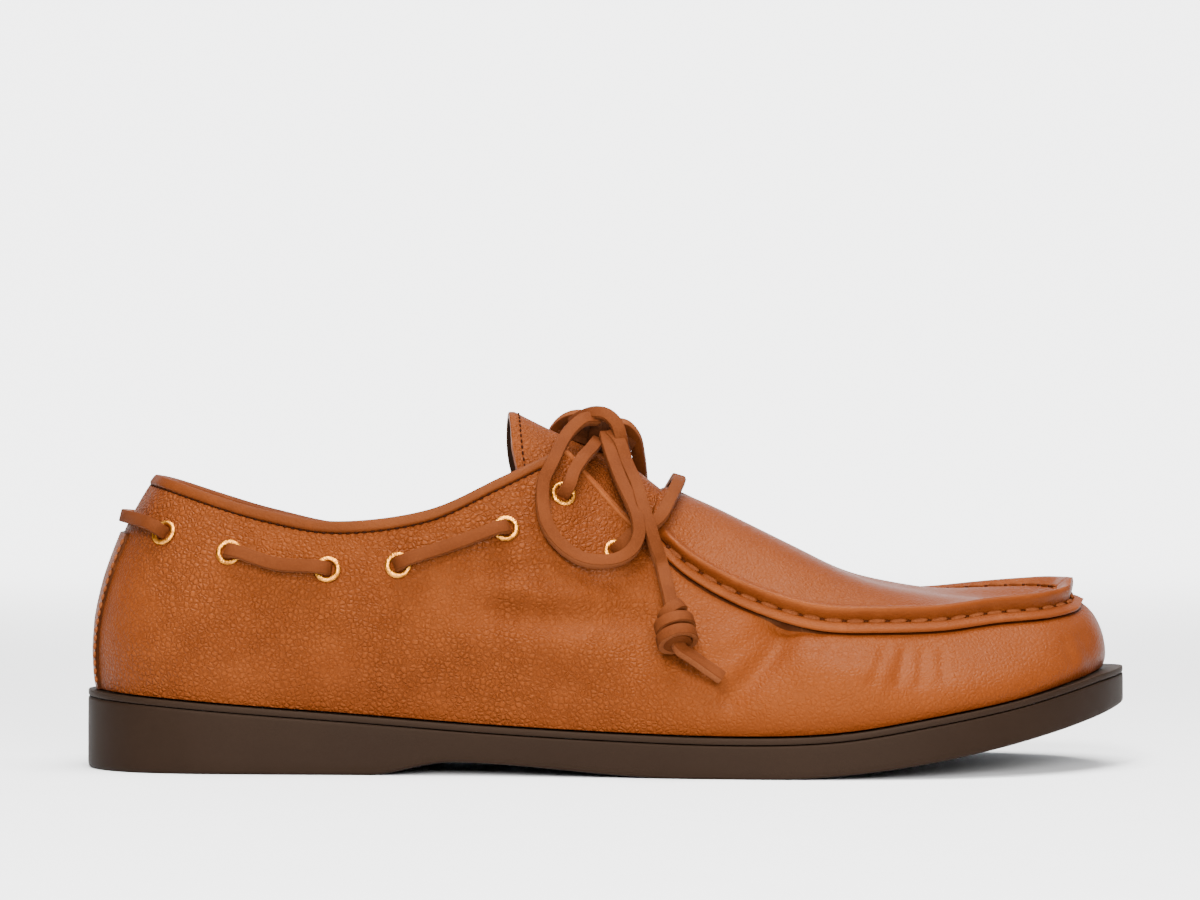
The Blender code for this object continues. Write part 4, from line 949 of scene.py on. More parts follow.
def placed(route):
    """Points of a lace's route on the lateral side."""
    rows = np.array(route, float)
    return np.stack((
        (rows[:, 0] - 0.5) * LENGTH,
        -rows[:, 1] * BALL_WIDTH / 2,
        LOWEST_EDGE + rows[:, 2] * COLLAR_HEIGHT,
    ), axis=1)


def mirrored(route):
    """Points of the same route on the big-toe side, where the lower wall stands steeper."""
    made = placed(route)
    rows = np.array(route, float)
    made[:, 1] = -made[:, 1] - STEEP_INSET * smooth_step((STEEP_TOP - rows[:, 2]) / STEEP_SPAN)
    return made


def facing(points, face):
    return [(point, np.asarray(face, float)) for point in points]


# Finishes

class Signal:
    """An output in a finish. Arithmetic on it adds Math nodes."""

    def __init__(self, finish, socket):
        self.finish = finish
        self.socket = socket

    def __add__(self, other):
        return self.finish.math("ADD", self, other)

    def __radd__(self, other):
        return self.finish.math("ADD", other, self)

    def __sub__(self, other):
        return self.finish.math("SUBTRACT", self, other)

    def __rsub__(self, other):
        return self.finish.math("SUBTRACT", other, self)

    def __mul__(self, other):
        return self.finish.math("MULTIPLY", self, other)

    def __rmul__(self, other):
        return self.finish.math("MULTIPLY", other, self)


class Finish:
    """A procedural material."""

    def __init__(self, name, **constants):
        self.material = bpy.data.materials.new(name)
        self.material.use_nodes = True
        self.tree = self.material.node_tree
        self.shader = self.tree.nodes["Principled BSDF"]
        for socket, value in constants.items():
            self.shader.inputs[socket.replace("_", " ")].default_value = value
        self.place = Signal(self, self.tree.nodes.new("ShaderNodeTexCoord").outputs["Object"])

    def fill(self, socket, value):
        if isinstance(value, Signal):
            self.tree.links.new(value.socket, socket)
        else:
            socket.default_value = value

    def node(self, kind, settings=None, sockets=None, output=0):
        made = self.tree.nodes.new(kind)
        for name, value in (settings or {}).items():
            setattr(made, name, value)
        for name, value in (sockets or {}).items():
            self.fill(made.inputs[name], value)
        return Signal(self, made.outputs[output])

    def math(self, operation, first, second=0.0):
        return self.node("ShaderNodeMath", {"operation": operation}, {0: first, 1: second})

    def between(self, value, low, high, out_low=0.0, out_high=1.0):
        """value's place between low and high, smoothly, as a number from out_low to out_high."""
        return self.node(
            "ShaderNodeMapRange",
            {"interpolation_type": "SMOOTHSTEP"},
            {"Value": value, "From Min": low, "From Max": high, "To Min": out_low, "To Max": out_high},
        )

    def mix(self, factor, first, second):
        colours = [(*colour, 1.0) if isinstance(colour, tuple) else colour for colour in (first, second)]
        sockets = {0: factor, 6: colours[0], 7: colours[1]}
        return self.node("ShaderNodeMix", {"data_type": "RGBA", "blend_type": "MIX"}, sockets, output=2)

    def noise(self, scale, detail=3.0, roughness=0.5):
        sockets = {"Vector": self.place, "Scale": scale, "Detail": detail, "Roughness": roughness}
        return self.node("ShaderNodeTexNoise", None, sockets)

    def cells(self, scale, feature, place=None, smoothness=None):
        sockets = {"Vector": place or self.place, "Scale": scale}
        if smoothness is not None:
            sockets["Smoothness"] = smoothness
        return self.node("ShaderNodeTexVoronoi", {"feature": feature}, sockets)

    def axis(self, name):
        return self.node("ShaderNodeSeparateXYZ", None, {0: self.place}, output="XYZ".index(name))

    def moved(self, amount, scale):
        """Object coordinates pushed about by noise."""
        push = self.node("ShaderNodeTexNoise", None, {"Vector": self.place, "Scale": scale}, output=1)
        centred = self.node("ShaderNodeVectorMath", {"operation": "SUBTRACT"}, {0: push, 1: (0.5, 0.5, 0.5)})
        scaled = self.node("ShaderNodeVectorMath", {"operation": "SCALE"}, {0: centred, 3: amount})
        return self.node("ShaderNodeVectorMath", {"operation": "ADD"}, {0: self.place, 1: scaled})

    def bump(self, height, distance):
        return self.node("ShaderNodeBump", None, {"Height": height, "Distance": distance, "Strength": 1.0})

    def feed(self, **sockets):
        for name, value in sockets.items():
            self.fill(self.shader.inputs[name.replace("_", " ")], value)
        return self.material


def leather_finish(name, base, dark, light, grain=0.27, cell=740.0, rough=0.40):
    """Pebbled leather: a network of fine creases round soft pebbles; painted shade darkens the creases and the toe,
    painted highlight lightens the pebble tops.
    """
    finish = Finish(name, Specular_IOR_Level=0.12, Specular_Tint=(1.0, 0.50, 0.25, 1.0))
    # Painted shade: towards the toe the leather is darker and deeper in colour
    front = tuple(value * share for value, share in zip(base, (0.88, 0.80, 0.60)))
    pushed = finish.moved(0.8 * MM, 420.0)
    network = finish.cells(cell, "DISTANCE_TO_EDGE", pushed)
    fine = finish.cells(cell * 2.1, "DISTANCE_TO_EDGE", pushed)
    pebbles = finish.between(network, 0.0, 0.34)
    small = finish.between(fine, 0.0, 0.34)
    lines = finish.between(network, 0.02, 0.13)
    pores = finish.noise(2800.0, 3.0, 0.6)
    patches = finish.noise(20.0, 3.0, 0.5)
    mottle = finish.noise(160.0, 3.0, 0.55)
    loose = finish.between(finish.axis("X"), 40.0 * MM, -15.0 * MM)
    coarse = finish.between(finish.noise(26.0, 2.0), 0.34, 0.60, 0.40) * (0.22 + loose * 0.78)
    colour = finish.mix(finish.between(patches, 0.36, 0.66), dark, base)
    colour = finish.mix(finish.between(mottle, 0.42, 0.72, 0.0, 0.30), colour, light)
    colour = finish.mix((1.0 - loose) * 0.70, colour, front)
    # Painted highlight: the tops of the coarse pebbles are lighter
    colour = finish.mix(pebbles * coarse * 0.16, colour, light)
    # Painted shade: the creases between the pebbles are darker
    crease_shade = (1.0 - lines) * (0.06 + coarse * 0.34)
    crease_shade = crease_shade + (1.0 - pebbles) * coarse * 0.08 + (1.0 - small) * 0.04
    colour = finish.mix(crease_shade, colour, tuple(value * 0.50 for value in dark))
    height = pebbles * (0.14 + coarse * 1.05) + small * (0.10 + loose * 0.10)
    height = height + pores * 0.06 + mottle * 0.12
    return finish.feed(
        Base_Color=colour,
        Roughness=rough + mottle * 0.12 + crease_shade * 0.20,
        Normal=finish.bump(height, grain * MM),
    )


def smooth_leather_finish(name, base, dark, light, rough=0.42, grain=0.08):
    """Finer, tighter leather of the binding and of folded edges."""
    finish = Finish(name, Specular_IOR_Level=0.10, Specular_Tint=(1.0, 0.55, 0.30, 1.0))
    fine = finish.cells(1900.0, "SMOOTH_F1", finish.moved(0.4 * MM, 700.0), smoothness=0.4)
    streaks = finish.noise(160.0, 4.0, 0.6)
    patches = finish.noise(30.0, 2.0)
    colour = finish.mix(finish.between(patches, 0.3, 0.7), dark, base)
    colour = finish.mix(finish.between(streaks, 0.5, 0.78, 0.0, 0.5), colour, light)
    height = (1.0 - fine) + finish.noise(3400.0, 2.0) * 0.4
    return finish.feed(
        Base_Color=colour,
        Roughness=rough + streaks * 0.14,
        Normal=finish.bump(height, grain * MM),
    )


def rawhide_finish(name, dark, base, light):
    """Dull cut leather of the lace, with its fine fibre."""
    finish = Finish(name, Specular_IOR_Level=0.05, Specular_Tint=(1.0, 0.55, 0.32, 1.0))
    fibre = finish.noise(1700.0, 4.0, 0.65)
    patches = finish.noise(70.0, 3.0)
    colour = finish.mix(finish.between(patches, 0.3, 0.7), dark, base)
    colour = finish.mix(finish.between(fibre, 0.42, 0.72, 0.0, 0.35), colour, light)
    return finish.feed(
        Base_Color=colour,
        Roughness=0.62 + fibre * 0.16,
        Normal=finish.bump(fibre + finish.noise(4200.0, 2.0) * 0.5, 0.08 * MM),
    )


def rubber_finish(name, dark, light):
    finish = Finish(name, Specular_IOR_Level=0.09, Specular_Tint=(1.0, 0.82, 0.70, 1.0))
    specks = finish.noise(3200.0, 3.0, 0.6)
    scuffs = finish.noise(45.0, 3.0, 0.5)
    colour = finish.mix(finish.between(scuffs, 0.30, 0.75, 0.0, 0.5), dark, light)
    return finish.feed(
        Base_Color=finish.mix(finish.between(specks, 0.55, 0.75, 0.0, 0.25), colour, light),
        Roughness=0.58 + scuffs * 0.10,
        Normal=finish.bump(specks, 0.03 * MM),
    )


def lining_finish(name, base, dark):
    """Undyed back of the leather."""
    finish = Finish(name, Specular_IOR_Level=0.20)
    nap = finish.noise(1900.0, 4.0, 0.7)
    clouds = finish.noise(45.0, 3.0)
    colour = finish.mix(finish.between(clouds, 0.3, 0.7), dark, base)
    return finish.feed(
        Base_Color=finish.mix(finish.between(nap, 0.4, 0.75, 0.0, 0.35), colour, dark),
        Roughness=0.72 + nap * 0.12,
        Normal=finish.bump(nap, 0.10 * MM),
    )


def brass_finish():
    """Hammered gold-coloured metal."""
    finish = Finish("gold_eyelet", Metallic=1.0, Specular_Tint=(1.0, 0.72, 0.35, 1.0))
    dents = finish.cells(2300.0, "SMOOTH_F1", smoothness=0.3)
    tarnish = finish.noise(500.0, 3.0)
    colour = finish.mix(finish.between(tarnish, 0.42, 0.72), (0.54, 0.222, 0.032), (0.22, 0.076, 0.009))
    return finish.feed(
        Base_Color=colour,
        Roughness=0.26 + tarnish * 0.20,
        Normal=finish.bump(dents, 0.12 * MM),
    )


def thread_finish(name, base, dark):
    finish = Finish(name, Specular_IOR_Level=0.03)
    twist = finish.noise(2600.0, 3.0, 0.6)
    return finish.feed(
        Base_Color=finish.mix(finish.between(twist, 0.4, 0.7), dark, base),
        Roughness=0.60 + twist * 0.15,
        Normal=finish.bump(twist, 0.08 * MM),
    )


# Colours as linear red, green and blue
TAN = (0.0850, 0.0192, 0.0034)
TAN_DARK = (0.0690, 0.0147, 0.0024)
TAN_LIGHT = (0.1120, 0.0275, 0.0060)

leather = leather_finish("pebbled_tan", TAN, TAN_DARK, TAN_LIGHT)
tongue_leather = leather_finish("tongue_tan", TAN, TAN_DARK, TAN_LIGHT, 0.32, 820.0, 0.42)
seam_leather = smooth_leather_finish("seam_tan", TAN, TAN_DARK, TAN_LIGHT, 0.38)
binding_leather, groove_shade_leather, edge_highlight_leather = (
    smooth_leather_finish(name, base, dark, light)
    for name, base, dark, light in (
        ("binding_tan", (0.062, 0.0146, 0.0030), (0.046, 0.0102, 0.0020), TAN),
        # The groove finish is very dark: painted shade for gaps, grooves and the stay's edge
        ("groove_tan", (0.025, 0.0056, 0.0013), (0.014, 0.0030, 0.0008), TAN_DARK),
        # The edge finish is lighter: painted highlight on the facing's folded edges and the tongue's edges
        ("edge_tan", (0.120, 0.0320, 0.0080), (0.086, 0.0205, 0.0046), (0.150, 0.0440, 0.0120)),
    )
)
rawhide, cut_rawhide, worn_rawhide = (
    rawhide_finish(name, dark, base, light)
    for name, dark, base, light in (
        ("rawhide", (0.045, 0.0112, 0.0031), (0.059, 0.0154, 0.0045), (0.080, 0.0228, 0.0072)),
        # The cut finish is lighter: the raw cut of the lace's edges, and painted highlight on them
        ("cut_rawhide", (0.072, 0.0205, 0.0066), (0.098, 0.0295, 0.0102), (0.134, 0.0440, 0.0165)),
        # The darkest finish is painted shade, for the lace turns and strands inside the bow
        ("worn_rawhide", (0.016, 0.0040, 0.0012), (0.024, 0.0062, 0.0019), (0.034, 0.0090, 0.0028)),
    )
)
lining = lining_finish("leather_back", (0.030, 0.0105, 0.0040), (0.017, 0.0058, 0.0022))
sock = lining_finish("sock_leather", (0.055, 0.0220, 0.0090), (0.038, 0.0145, 0.0056))
sole_rubber = rubber_finish("sole_rubber", (0.0066, 0.0031, 0.0016), (0.0088, 0.0044, 0.0025))
strip_rubber = rubber_finish("strip_rubber", (0.0078, 0.0039, 0.0021), (0.0104, 0.0055, 0.0033))
brass = brass_finish()
seam_thread, dark_thread, pinch, tan_thread = (
    thread_finish(name, base, dark)
    for name, base, dark in (
        ("seam_thread", (0.105, 0.0300, 0.0090), (0.066, 0.0165, 0.0044)),
        ("dark_thread", (0.013, 0.0030, 0.0008), (0.007, 0.0015, 0.0004)),
        # The hole finish is dark: painted shade in the stitch holes
        ("pinch", (0.030, 0.0070, 0.0018), (0.020, 0.0044, 0.0011)),
        ("tan_thread", (0.150, 0.0480, 0.0150), (0.080, 0.0215, 0.0062)),
    )
)


def finished(piece, slot, *nodes):
    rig.ride(piece, "root")
    if nodes:
        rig.replaces(piece, *nodes)
    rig.slot(piece, slot)
    return piece


# Camera, then the free laces

camera_data = bpy.data.cameras.new("camera")
camera_data.lens = LENS
camera_data.sensor_width = SENSOR
camera_data.clip_end = 20.0
camera = bpy.data.objects.new("camera", camera_data)
camera.location = CAMERA_PLACE
camera.rotation_euler = (math.radians(90), 0.0, 0.0)
bpy.context.scene.collection.objects.link(camera)
bpy.context.scene.camera = camera


def eyelet_places():
    """Point and outward direction of each eyelet on each side."""
    made = {}
    for side in (LATERAL, MEDIAL):
        for name, along, up in EYELETS:
            made[side, name] = wall_spot(side, (along - 0.5) * LENGTH, LOWEST_EDGE + COLLAR_HEIGHT * up)
    return made


EYES = eyelet_places()


def out_of_eyelet(side, name, towards):
    """First stops of a lace that leaves an eyelet and turns over its rim."""
    point, face = EYES[side, name]
    way = towards - point
    way = unit(way - face * np.dot(way, face))
    return [(point + (face * up + way * along) * LACE_THICKNESS, face) for up, along in EYELET_TURN]


def side_word(side):
    return "lateral" if side == LATERAL else "medial"


def loop_face(side):
    return np.array((LOOP_FACE[0], -LOOP_FACE[1] * side, LOOP_FACE[2]))


def lace_mesh(name, stops):
    sheet = Sheet()
    path, side, total = lace_path(stops)
    sweep(sheet, path, side, LACE_SECTION, LACE_FACES, LACE_END_SIZE)
    return sheet.make(name, [rawhide, cut_rawhide], merge=0, recalculate=False), path, total


def wind(sheet, centre, ring, section, finish):
    """One closed turn of lace round a centre."""
    way = unit(np.gradient(ring, axis=0))
    way[0] = way[-1] = unit(way[0] + way[-1])
    sweep(sheet, ring, np.cross(unit(ring - centre), way), section, finish)


def build_knot():
    """Middle of the bow: turns and strands of lace painted dark as painted shade, and the band that crosses its top.
    """
    middle = placed([KNOT_PLACE])[0]
    sheet = Sheet()
    angles = np.linspace(0.0, 2 * math.pi, 37)
    for centre, (half_y, half_z), tilt in (
        # centre and half sizes in millimetres, tilt in degrees about the shoe's length
        ((-6.2, 2.6, -1.4), (3.0, 2.4), 8.0),
        ((-3.2, 1.2, -1.0), (3.2, 3.6), 10.0),
        ((0.4, 1.4, -1.2), (3.3, 4.0), -8.0),
        ((4.0, 2.0, -1.8), (3.0, 3.6), -16.0),
    ):
        lean = math.radians(tilt)
        centre = middle + np.array(centre) * MM
        ring = centre + np.stack((
            np.sin(angles) * half_z * math.sin(lean),
            np.cos(angles) * half_y,
            np.sin(angles) * half_z * math.cos(lean),
        ), axis=1) * MM
        wind(sheet, centre, ring, LACE_SECTION, 2)
    for route in SHADED_ROUTES:
        path, side, _ = lace_path(facing(placed(route), (0.05, -0.95, 0.30)))
        sweep(sheet, path, side, LACE_SECTION * SHADED_SCALE, 2)
    path, side, _ = lace_path(facing(placed(BAND_ROUTE), (0.05, -0.90, 0.42)))
    sweep(sheet, path, side, LACE_SECTION, LACE_FACES)
    finishes = [rawhide, cut_rawhide, worn_rawhide]
    return sheet.make("lace_knot_wound", finishes, merge=0, recalculate=False)


def loop_route(side):
    if side == LATERAL:
        return placed(LOOP_ROUTE)
    return mirrored(FAR_LOOP_START + LOOP_ROUTE[4:16] + FAR_LOOP_END)


def build_cords():
    knot = finished(build_knot(), "rawhide_lace", "lace_knot")
    for side, turn in ((LATERAL, placed), (MEDIAL, mirrored)):
        word = side_word(side)
        face = loop_face(side)
        piece, path, total = lace_mesh("lace_bow_loop_" + word, facing(loop_route(side), face))
        finished(piece, "rawhide_lace", "lace_loop_" + word)
        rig.cord(
            piece, exit=path[0], length=round(total, 3), diameter=LACE_WIDTH, far_end="object",
            stiffness="medium", lay="loose", path=path, with_pieces=[knot] if side == LATERAL else (),
        )
        start, finish = turn(STOPPER_ROUTE)
        stopper = finished(build_stopper(side, start, finish), "rawhide_lace", "lace_stopper_" + word)
        inside = [start + (finish - start) * share for share in STOPPER_INSIDE]
        tail_face = TAIL_FACE * np.array((1.0, -side, 1.0))
        stops = facing(turn(END_ROUTE), face) + facing(inside, face) + facing(turn(TAIL_ROUTE), tail_face)
        piece, path, total = lace_mesh("lace_bow_end_" + word, stops)
        finished(piece, "rawhide_lace", "lace_end_" + word, "lace_tail_" + word)
        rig.cord(
            piece, exit=path[0], length=round(total, 3), diameter=LACE_WIDTH, far_end="bare",
            stiffness="medium", lay="hanging", path=path, with_pieces=[stopper],
        )


def build_stopper(side, start, finish):
    """Wound knot near the lace's end: a slanting turn above two flat, close turns."""
    sheet = Sheet()
    axis = unit(finish - start)
    length = np.linalg.norm(finish - start)
    right = unit(np.array((1.0, 0.0, 0.0)) - axis * axis[0])
    front = np.cross(axis, right)
    front = front if front[1] * side > 0 else -front
    angles = np.linspace(0.0, 2 * math.pi, 61)
    for along, radius, width, thick, slope in (
        # share along the knot, then radius, width, thickness and slant of the turn in millimetres
        (0.14, 2.9, 3.3, 1.7, 1.7),
        (0.475, 4.75, 3.1, 1.8, 0.55),
        (0.800, 4.85, 3.1, 1.8, 0.45),
    ):
        centre = start + axis * along * length + front * STOPPER_OUT
        ring = centre + (
            right * np.cos(angles)[:, None] * radius
            + front * np.sin(angles)[:, None] * radius
            - axis * np.cos(angles)[:, None] * slope
        ) * MM
        section = LACE_SECTION * np.array((width * MM / LACE_WIDTH, thick * MM / LACE_THICKNESS))
        wind(sheet, centre, ring, section, LACE_FACES)
    core = start + axis * np.linspace(0.30, 0.93, 6)[:, None] * length + front * STOPPER_OUT
    round_section = np.stack((np.cos(angles[:-1]), np.sin(angles[:-1])), axis=1) * STOPPER_CORE
    sweep(sheet, core, np.tile(right, (6, 1)), round_section)
    finishes = [rawhide, cut_rawhide]
    return sheet.make("lace_stopper_knot_" + side_word(side), finishes, merge=0, recalculate=False)


build_cords()


# Upper

def stay_edge():
    """Rib at the edge of the heel stay."""
    rib = np.arange(0.0, 3.0, 0.01)
    points = Ribs(LATERAL, rib).at(np.full((len(rib), 1), 0.5))[:, 0]
    return float(rib[np.argmax(np.abs(points[:, 1]) >= STAY_WIDTH / 2)])


STAY_EDGE = stay_edge()


def even_ribs(side, first, last, spacing, share):
    """Ribs at even distances along the wall at a share of its height."""
    rib = np.linspace(first, last, RIB_SAMPLES)
    points = Ribs(side, rib).at(np.full((len(rib), 1), share))[:, 0]
    lengths = run_lengths(points)
    count = max(2, round(lengths[-1] / spacing))
    return np.interp(np.linspace(0.0, lengths[-1], count + 1), lengths, rib)


def column_ribs(side):
    rear = even_ribs(side, 0.0, THROAT_RIB, REAR_SPACING, 0.6)
    front = even_ribs(side, THROAT_RIB, TOE_RIB, FRONT_SPACING, 0.9)
    close = [STAY_EDGE - STAY_DROP, STAY_EDGE + STAY_DROP, BINDING_END + 0.15]
    rear = rear[np.min(np.abs(rear[:, None] - np.array(close)[None, :]), axis=1) > CLOSEST_RIBS]
    return np.sort(np.concatenate((rear[:-1], close))), front


def top_share(side, rib):
    """Share of the rib where the leather ends: lower under the collar binding."""
    slope = 3 * Ribs(side, rib).reach
    return np.where(rib > BINDING_END + BARE_TOP, 1.0, 1.0 - (BINDING_HEIGHT + GAP) / slope)


def ripples(points):
    """Soft unevenness of leather pulled over a last."""
    x = points[..., 0] / RIPPLE_LENGTH
    z = points[..., 2] / RIPPLE_HEIGHT
    slow = np.sin(x + 1.4 * np.sin(z * 0.8 + 0.6)) * np.sin(z + 1.1 * np.sin(x * 0.7))
    quick = np.sin(2.3 * x + 1.2 * np.sin(1.9 * z + 2.0)) * np.sin(2.6 * z + 1.3 * np.sin(1.6 * x + 1.0))
    return slow * SLOW_RIPPLE + quick * QUICK_RIPPLE


def crease_lift(side, points):
    """How far creases and ripples lift the leather at each point."""
    lift = np.zeros(points.shape[:-1])
    flat = points[..., (0, 2)]
    for on, line, depth, width in CREASES:
        if on != side:
            continue
        stops = [((along - 0.5) * LENGTH, 0.0, LOWEST_EDGE + up * COLLAR_HEIGHT) for along, up in line]
        far = np.full(points.shape[:-1], 1.0)
        for spot in smooth_path(stops, CREASE_SPACING)[::2, (0, 2)]:
            far = np.minimum(far, np.hypot(flat[..., 0] - spot[0], flat[..., 1] - spot[1]))
        lift += depth * MM * np.exp(-(far / (width * MM)) ** 2)
    return lift + ripples(points)


def wall_lift(side, points, shares):
    """Lift by creases and ripples, fading out at the wall's foot and top."""
    fade = smooth_step(shares / FOOT_FADE) * smooth_step((1.0 - shares) / TOP_FADE)
    return crease_lift(side, points) * fade


def seam_growth(rib):
    """How far the seam has grown to its full height, from the throat on."""
    return smooth_step((rib - THROAT_RIB) / SEAM_START)[:, None]


def seam_rows(side, rib, along, flange, roll):
    """Rows of the seam. At the toe its flange lies down, and the roll stands higher."""
    ribs = Ribs(side, rib)
    kept = 1.0 - smooth_step((rib - FLAT_RIB) / FLAT_SPAN)[:, None]
    risen = 1.0 + TOE_RISE * smooth_step((rib - RISE_RIB) / RISE_SPAN)[:, None]
    slope = 1.0 - FLAT_SLOPE * (1.0 - kept) * np.clip(ROLL_CREST - along[None, :], 0.0, 1.0)
    low = flange[None, :] * FLANGE_STEP * (FLAT_FLANGE + (1.0 - FLAT_FLANGE) * kept)
    proud = (low + roll[None, :] * ROLL_HEIGHT * risen * slope) * seam_growth(rib)
    along = np.where(along[None, :] < 0.0, along[None, :] * kept, along[None, :])
    return (
        ribs.top[:, None, :]
        + ribs.rise[:, None, :] * (along * SEAM_WIDTH)[..., None]
        + ribs.face[:, None, :] * proud[..., None]
    )


def crest_rows(side, rib, shares):
    """Apron from the foot of the seam to its middle line."""
    ribs = Ribs(side, rib)
    start = ribs.top + ribs.rise * SEAM_WIDTH
    end = crest_points(rib)
    flat = end - start
    flat[:, 2] = 0.0
    span = np.linalg.norm(flat, axis=1, keepdims=True)
    inward = unit(flat)
    tilt = np.radians(crest_value("tilt", rib))[:, None]
    length = np.linalg.norm(end - start, axis=1, keepdims=True)
    low = start + (inward * np.cos(tilt) + UP * np.sin(tilt)) * APRON_LOW_HANDLE * length
    high = end - inward * APRON_HIGH_HANDLE * span
    return bend(start[:, None], low[:, None], high[:, None], end[:, None], shares[None, :, None])


def seam_distance(side, rib):
    """Distance along the seam from the throat corner, at each rib."""
    fine = np.linspace(THROAT_RIB, TOE_RIB, SEAM_SAMPLES)
    ribs = Ribs(side, fine)
    lengths = run_lengths(ribs.top + ribs.rise * SEAM_WIDTH * SEAM_STITCH)
    return np.interp(rib, fine, lengths), lengths[-1]


def gathers(side, rib, along):
    """How far each stitch lifts and pulls the groove's edge, more so near the throat."""
    distance, total = seam_distance(side, rib)
    stitches = round(total / SEAM_PITCH)
    pull = 0.5 - 0.5 * np.cos(2 * math.pi * distance / total * stitches)
    near = np.exp(-((along - GATHER_PLACE) / GATHER_WIDTH) ** 2)
    rough = 0.5 + 0.8 * np.exp(-distance / GATHER_REACH)
    return ((pull - 0.7) * rough)[:, None] * near[None, :] * GATHER * seam_growth(rib)


def apron_lining(side, rib):
    """Rows of the inner face under the seam and the apron."""
    ribs = Ribs(side, rib)
    rows = np.concatenate((
        ribs.top[:, None],
        (ribs.top + ribs.rise * SEAM_WIDTH)[:, None],
        crest_rows(side, rib, np.linspace(0.0, 1.0, LINING_APRON_ROWS + 1)[1:]),
    ), axis=1)
    face = unit(np.cross(np.gradient(rows, axis=0), np.gradient(rows, axis=1)))
    face[face[..., 2] < 0] *= -1
    face[:, -1, 1] = 0.0
    return rows - unit(face) * WALL


def build_upper():
    sheet = Sheet()
    wall_shares = np.append(np.linspace(0.0, STAY_TOP - 0.01, WALL_ROWS), (STAY_TOP, STAY_TOP + STAY_END))
    high_steps = np.linspace(0.0, 1.0, TOP_ROWS + 1)[None, 1:]
    along, flange, roll = np.array(SEAM).T
    crest_shares = np.linspace(0.0, 1.0, APRON_ROWS + 1)[1:]
    for side in (LATERAL, MEDIAL):
        turned = side == MEDIAL
        rear, front = column_ribs(side)
        rib = np.concatenate((rear, front))
        top = top_share(side, rib)[:, None]
        low = np.broadcast_to(wall_shares, (len(rib), len(wall_shares)))
        shares = np.concatenate((low, low[:, -1:] + (top - low[:, -1:]) * high_steps), axis=1)
        points, face = wall(side, rib, shares)
        stay = (rib < STAY_EDGE)[:, None] & (shares <= STAY_TOP + 0.001)
        outer = points + face * (wall_lift(side, points, shares) + stay * STAY_STEP)[..., None]
        # Painted shade: the dark finish goes on the quads along the heel stay's edge and on the wall's top row under
        # the seam
        shaded = stay[:-1, :-1] & ~(stay[1:, :-1] & stay[:-1, 1:])
        shaded[len(rear):, -1] = True
        sheet.grid(outer, np.where(shaded, 2, 0), flip=turned)

        shares = np.linspace(0.0, 1.0, LINING_ROWS)[None, :] * top
        points, face = wall(side, rib, shares)
        inner = points - face * (WALL - np.minimum(wall_lift(side, points, shares), 0.0))[..., None]
        inner[:, 0, 2] = outer[:, 0, 2]
        sheet.grid(inner, 1, flip=not turned)
        sheet.grid(np.stack((outer[:, 0], inner[:, 0]), axis=1), 1)
        at_rear = rib <= THROAT_RIB + 1e-6
        sheet.grid(np.stack((outer[at_rear, -1], inner[at_rear, -1]), axis=1), 0)

        rows = seam_rows(side, front, along, flange, roll)
        rows = rows + Ribs(side, front).face[:, None, :] * gathers(side, front, along)[..., None]
        crest = crest_rows(side, front, crest_shares)
        outer_front = np.concatenate((outer[len(rear):, -1:], rows, crest), axis=1)
        for first, last, finish in SEAM_FINISHES:
            sheet.grid(outer_front[:, first:last], finish, flip=turned)
        inner_front = apron_lining(side, front)
        inner_front[:, 0] = inner[len(rear):, -1]
        sheet.grid(inner_front, 1, flip=not turned)
        edges = [spaced(face_rows[0], THROAT_EDGE_STEPS) for face_rows in (outer_front, inner_front)]
        sheet.grid(np.stack(edges, axis=1), 0)
    finishes = [leather, lining, groove_shade_leather, seam_leather]
    return sheet.make("leather_upper", finishes, merge=0.02 * MM, sharp=50)


finished(build_upper(), "pebbled_leather", "upper")


# Sole and sock

def plate(sheet, levels, steps, relief=None):
    """Solid between rings of the outline, lowest first. relief is how deep its underside is cut."""
    share = np.arange(steps + 1) / steps
    share = share - SPREAD * np.sin(2 * math.pi * share)
    sides = [(level(LATERAL, share), level(MEDIAL, share)) for level in levels]
    rings = [np.concatenate((lateral, medial[-2:0:-1])) for lateral, medial in sides]
    sheet.grid(np.array(rings), 0, around=True)
    for (lateral, medial), cut in ((sides[0], relief), (sides[-1], None)):
        across = np.linspace(0.0, 1.0, TREAD_ROWS if cut else PLAIN_ROWS)[:, None, None]
        cap = lateral * (1.0 - across) + medial * across
        if cut:
            edge = np.minimum(across, 1.0 - across)[..., 0] * np.linalg.norm(medial - lateral, axis=1)
            cap[..., 2] += cut(cap, edge)
        sheet.grid(cap, 0)


def sole_level(height, inset):
    def level(side, around):
        point, _ = edge_points(side, around, inset * SOLE_ROUNDING)
        top = sole_edge(point[:, 0]) - MIDSOLE - 2 * GAP
        low = underside(point[:, 0])
        point[:, 2] = low + (top - low) * height
        return point
    return level


def strip_level(inset, drop):
    def level(side, around):
        amount = inset(around) if callable(inset) else inset
        point, _ = edge_points(side, around, amount)
        point[:, 2] = sole_edge(point[:, 0]) + drop
        return point
    return level


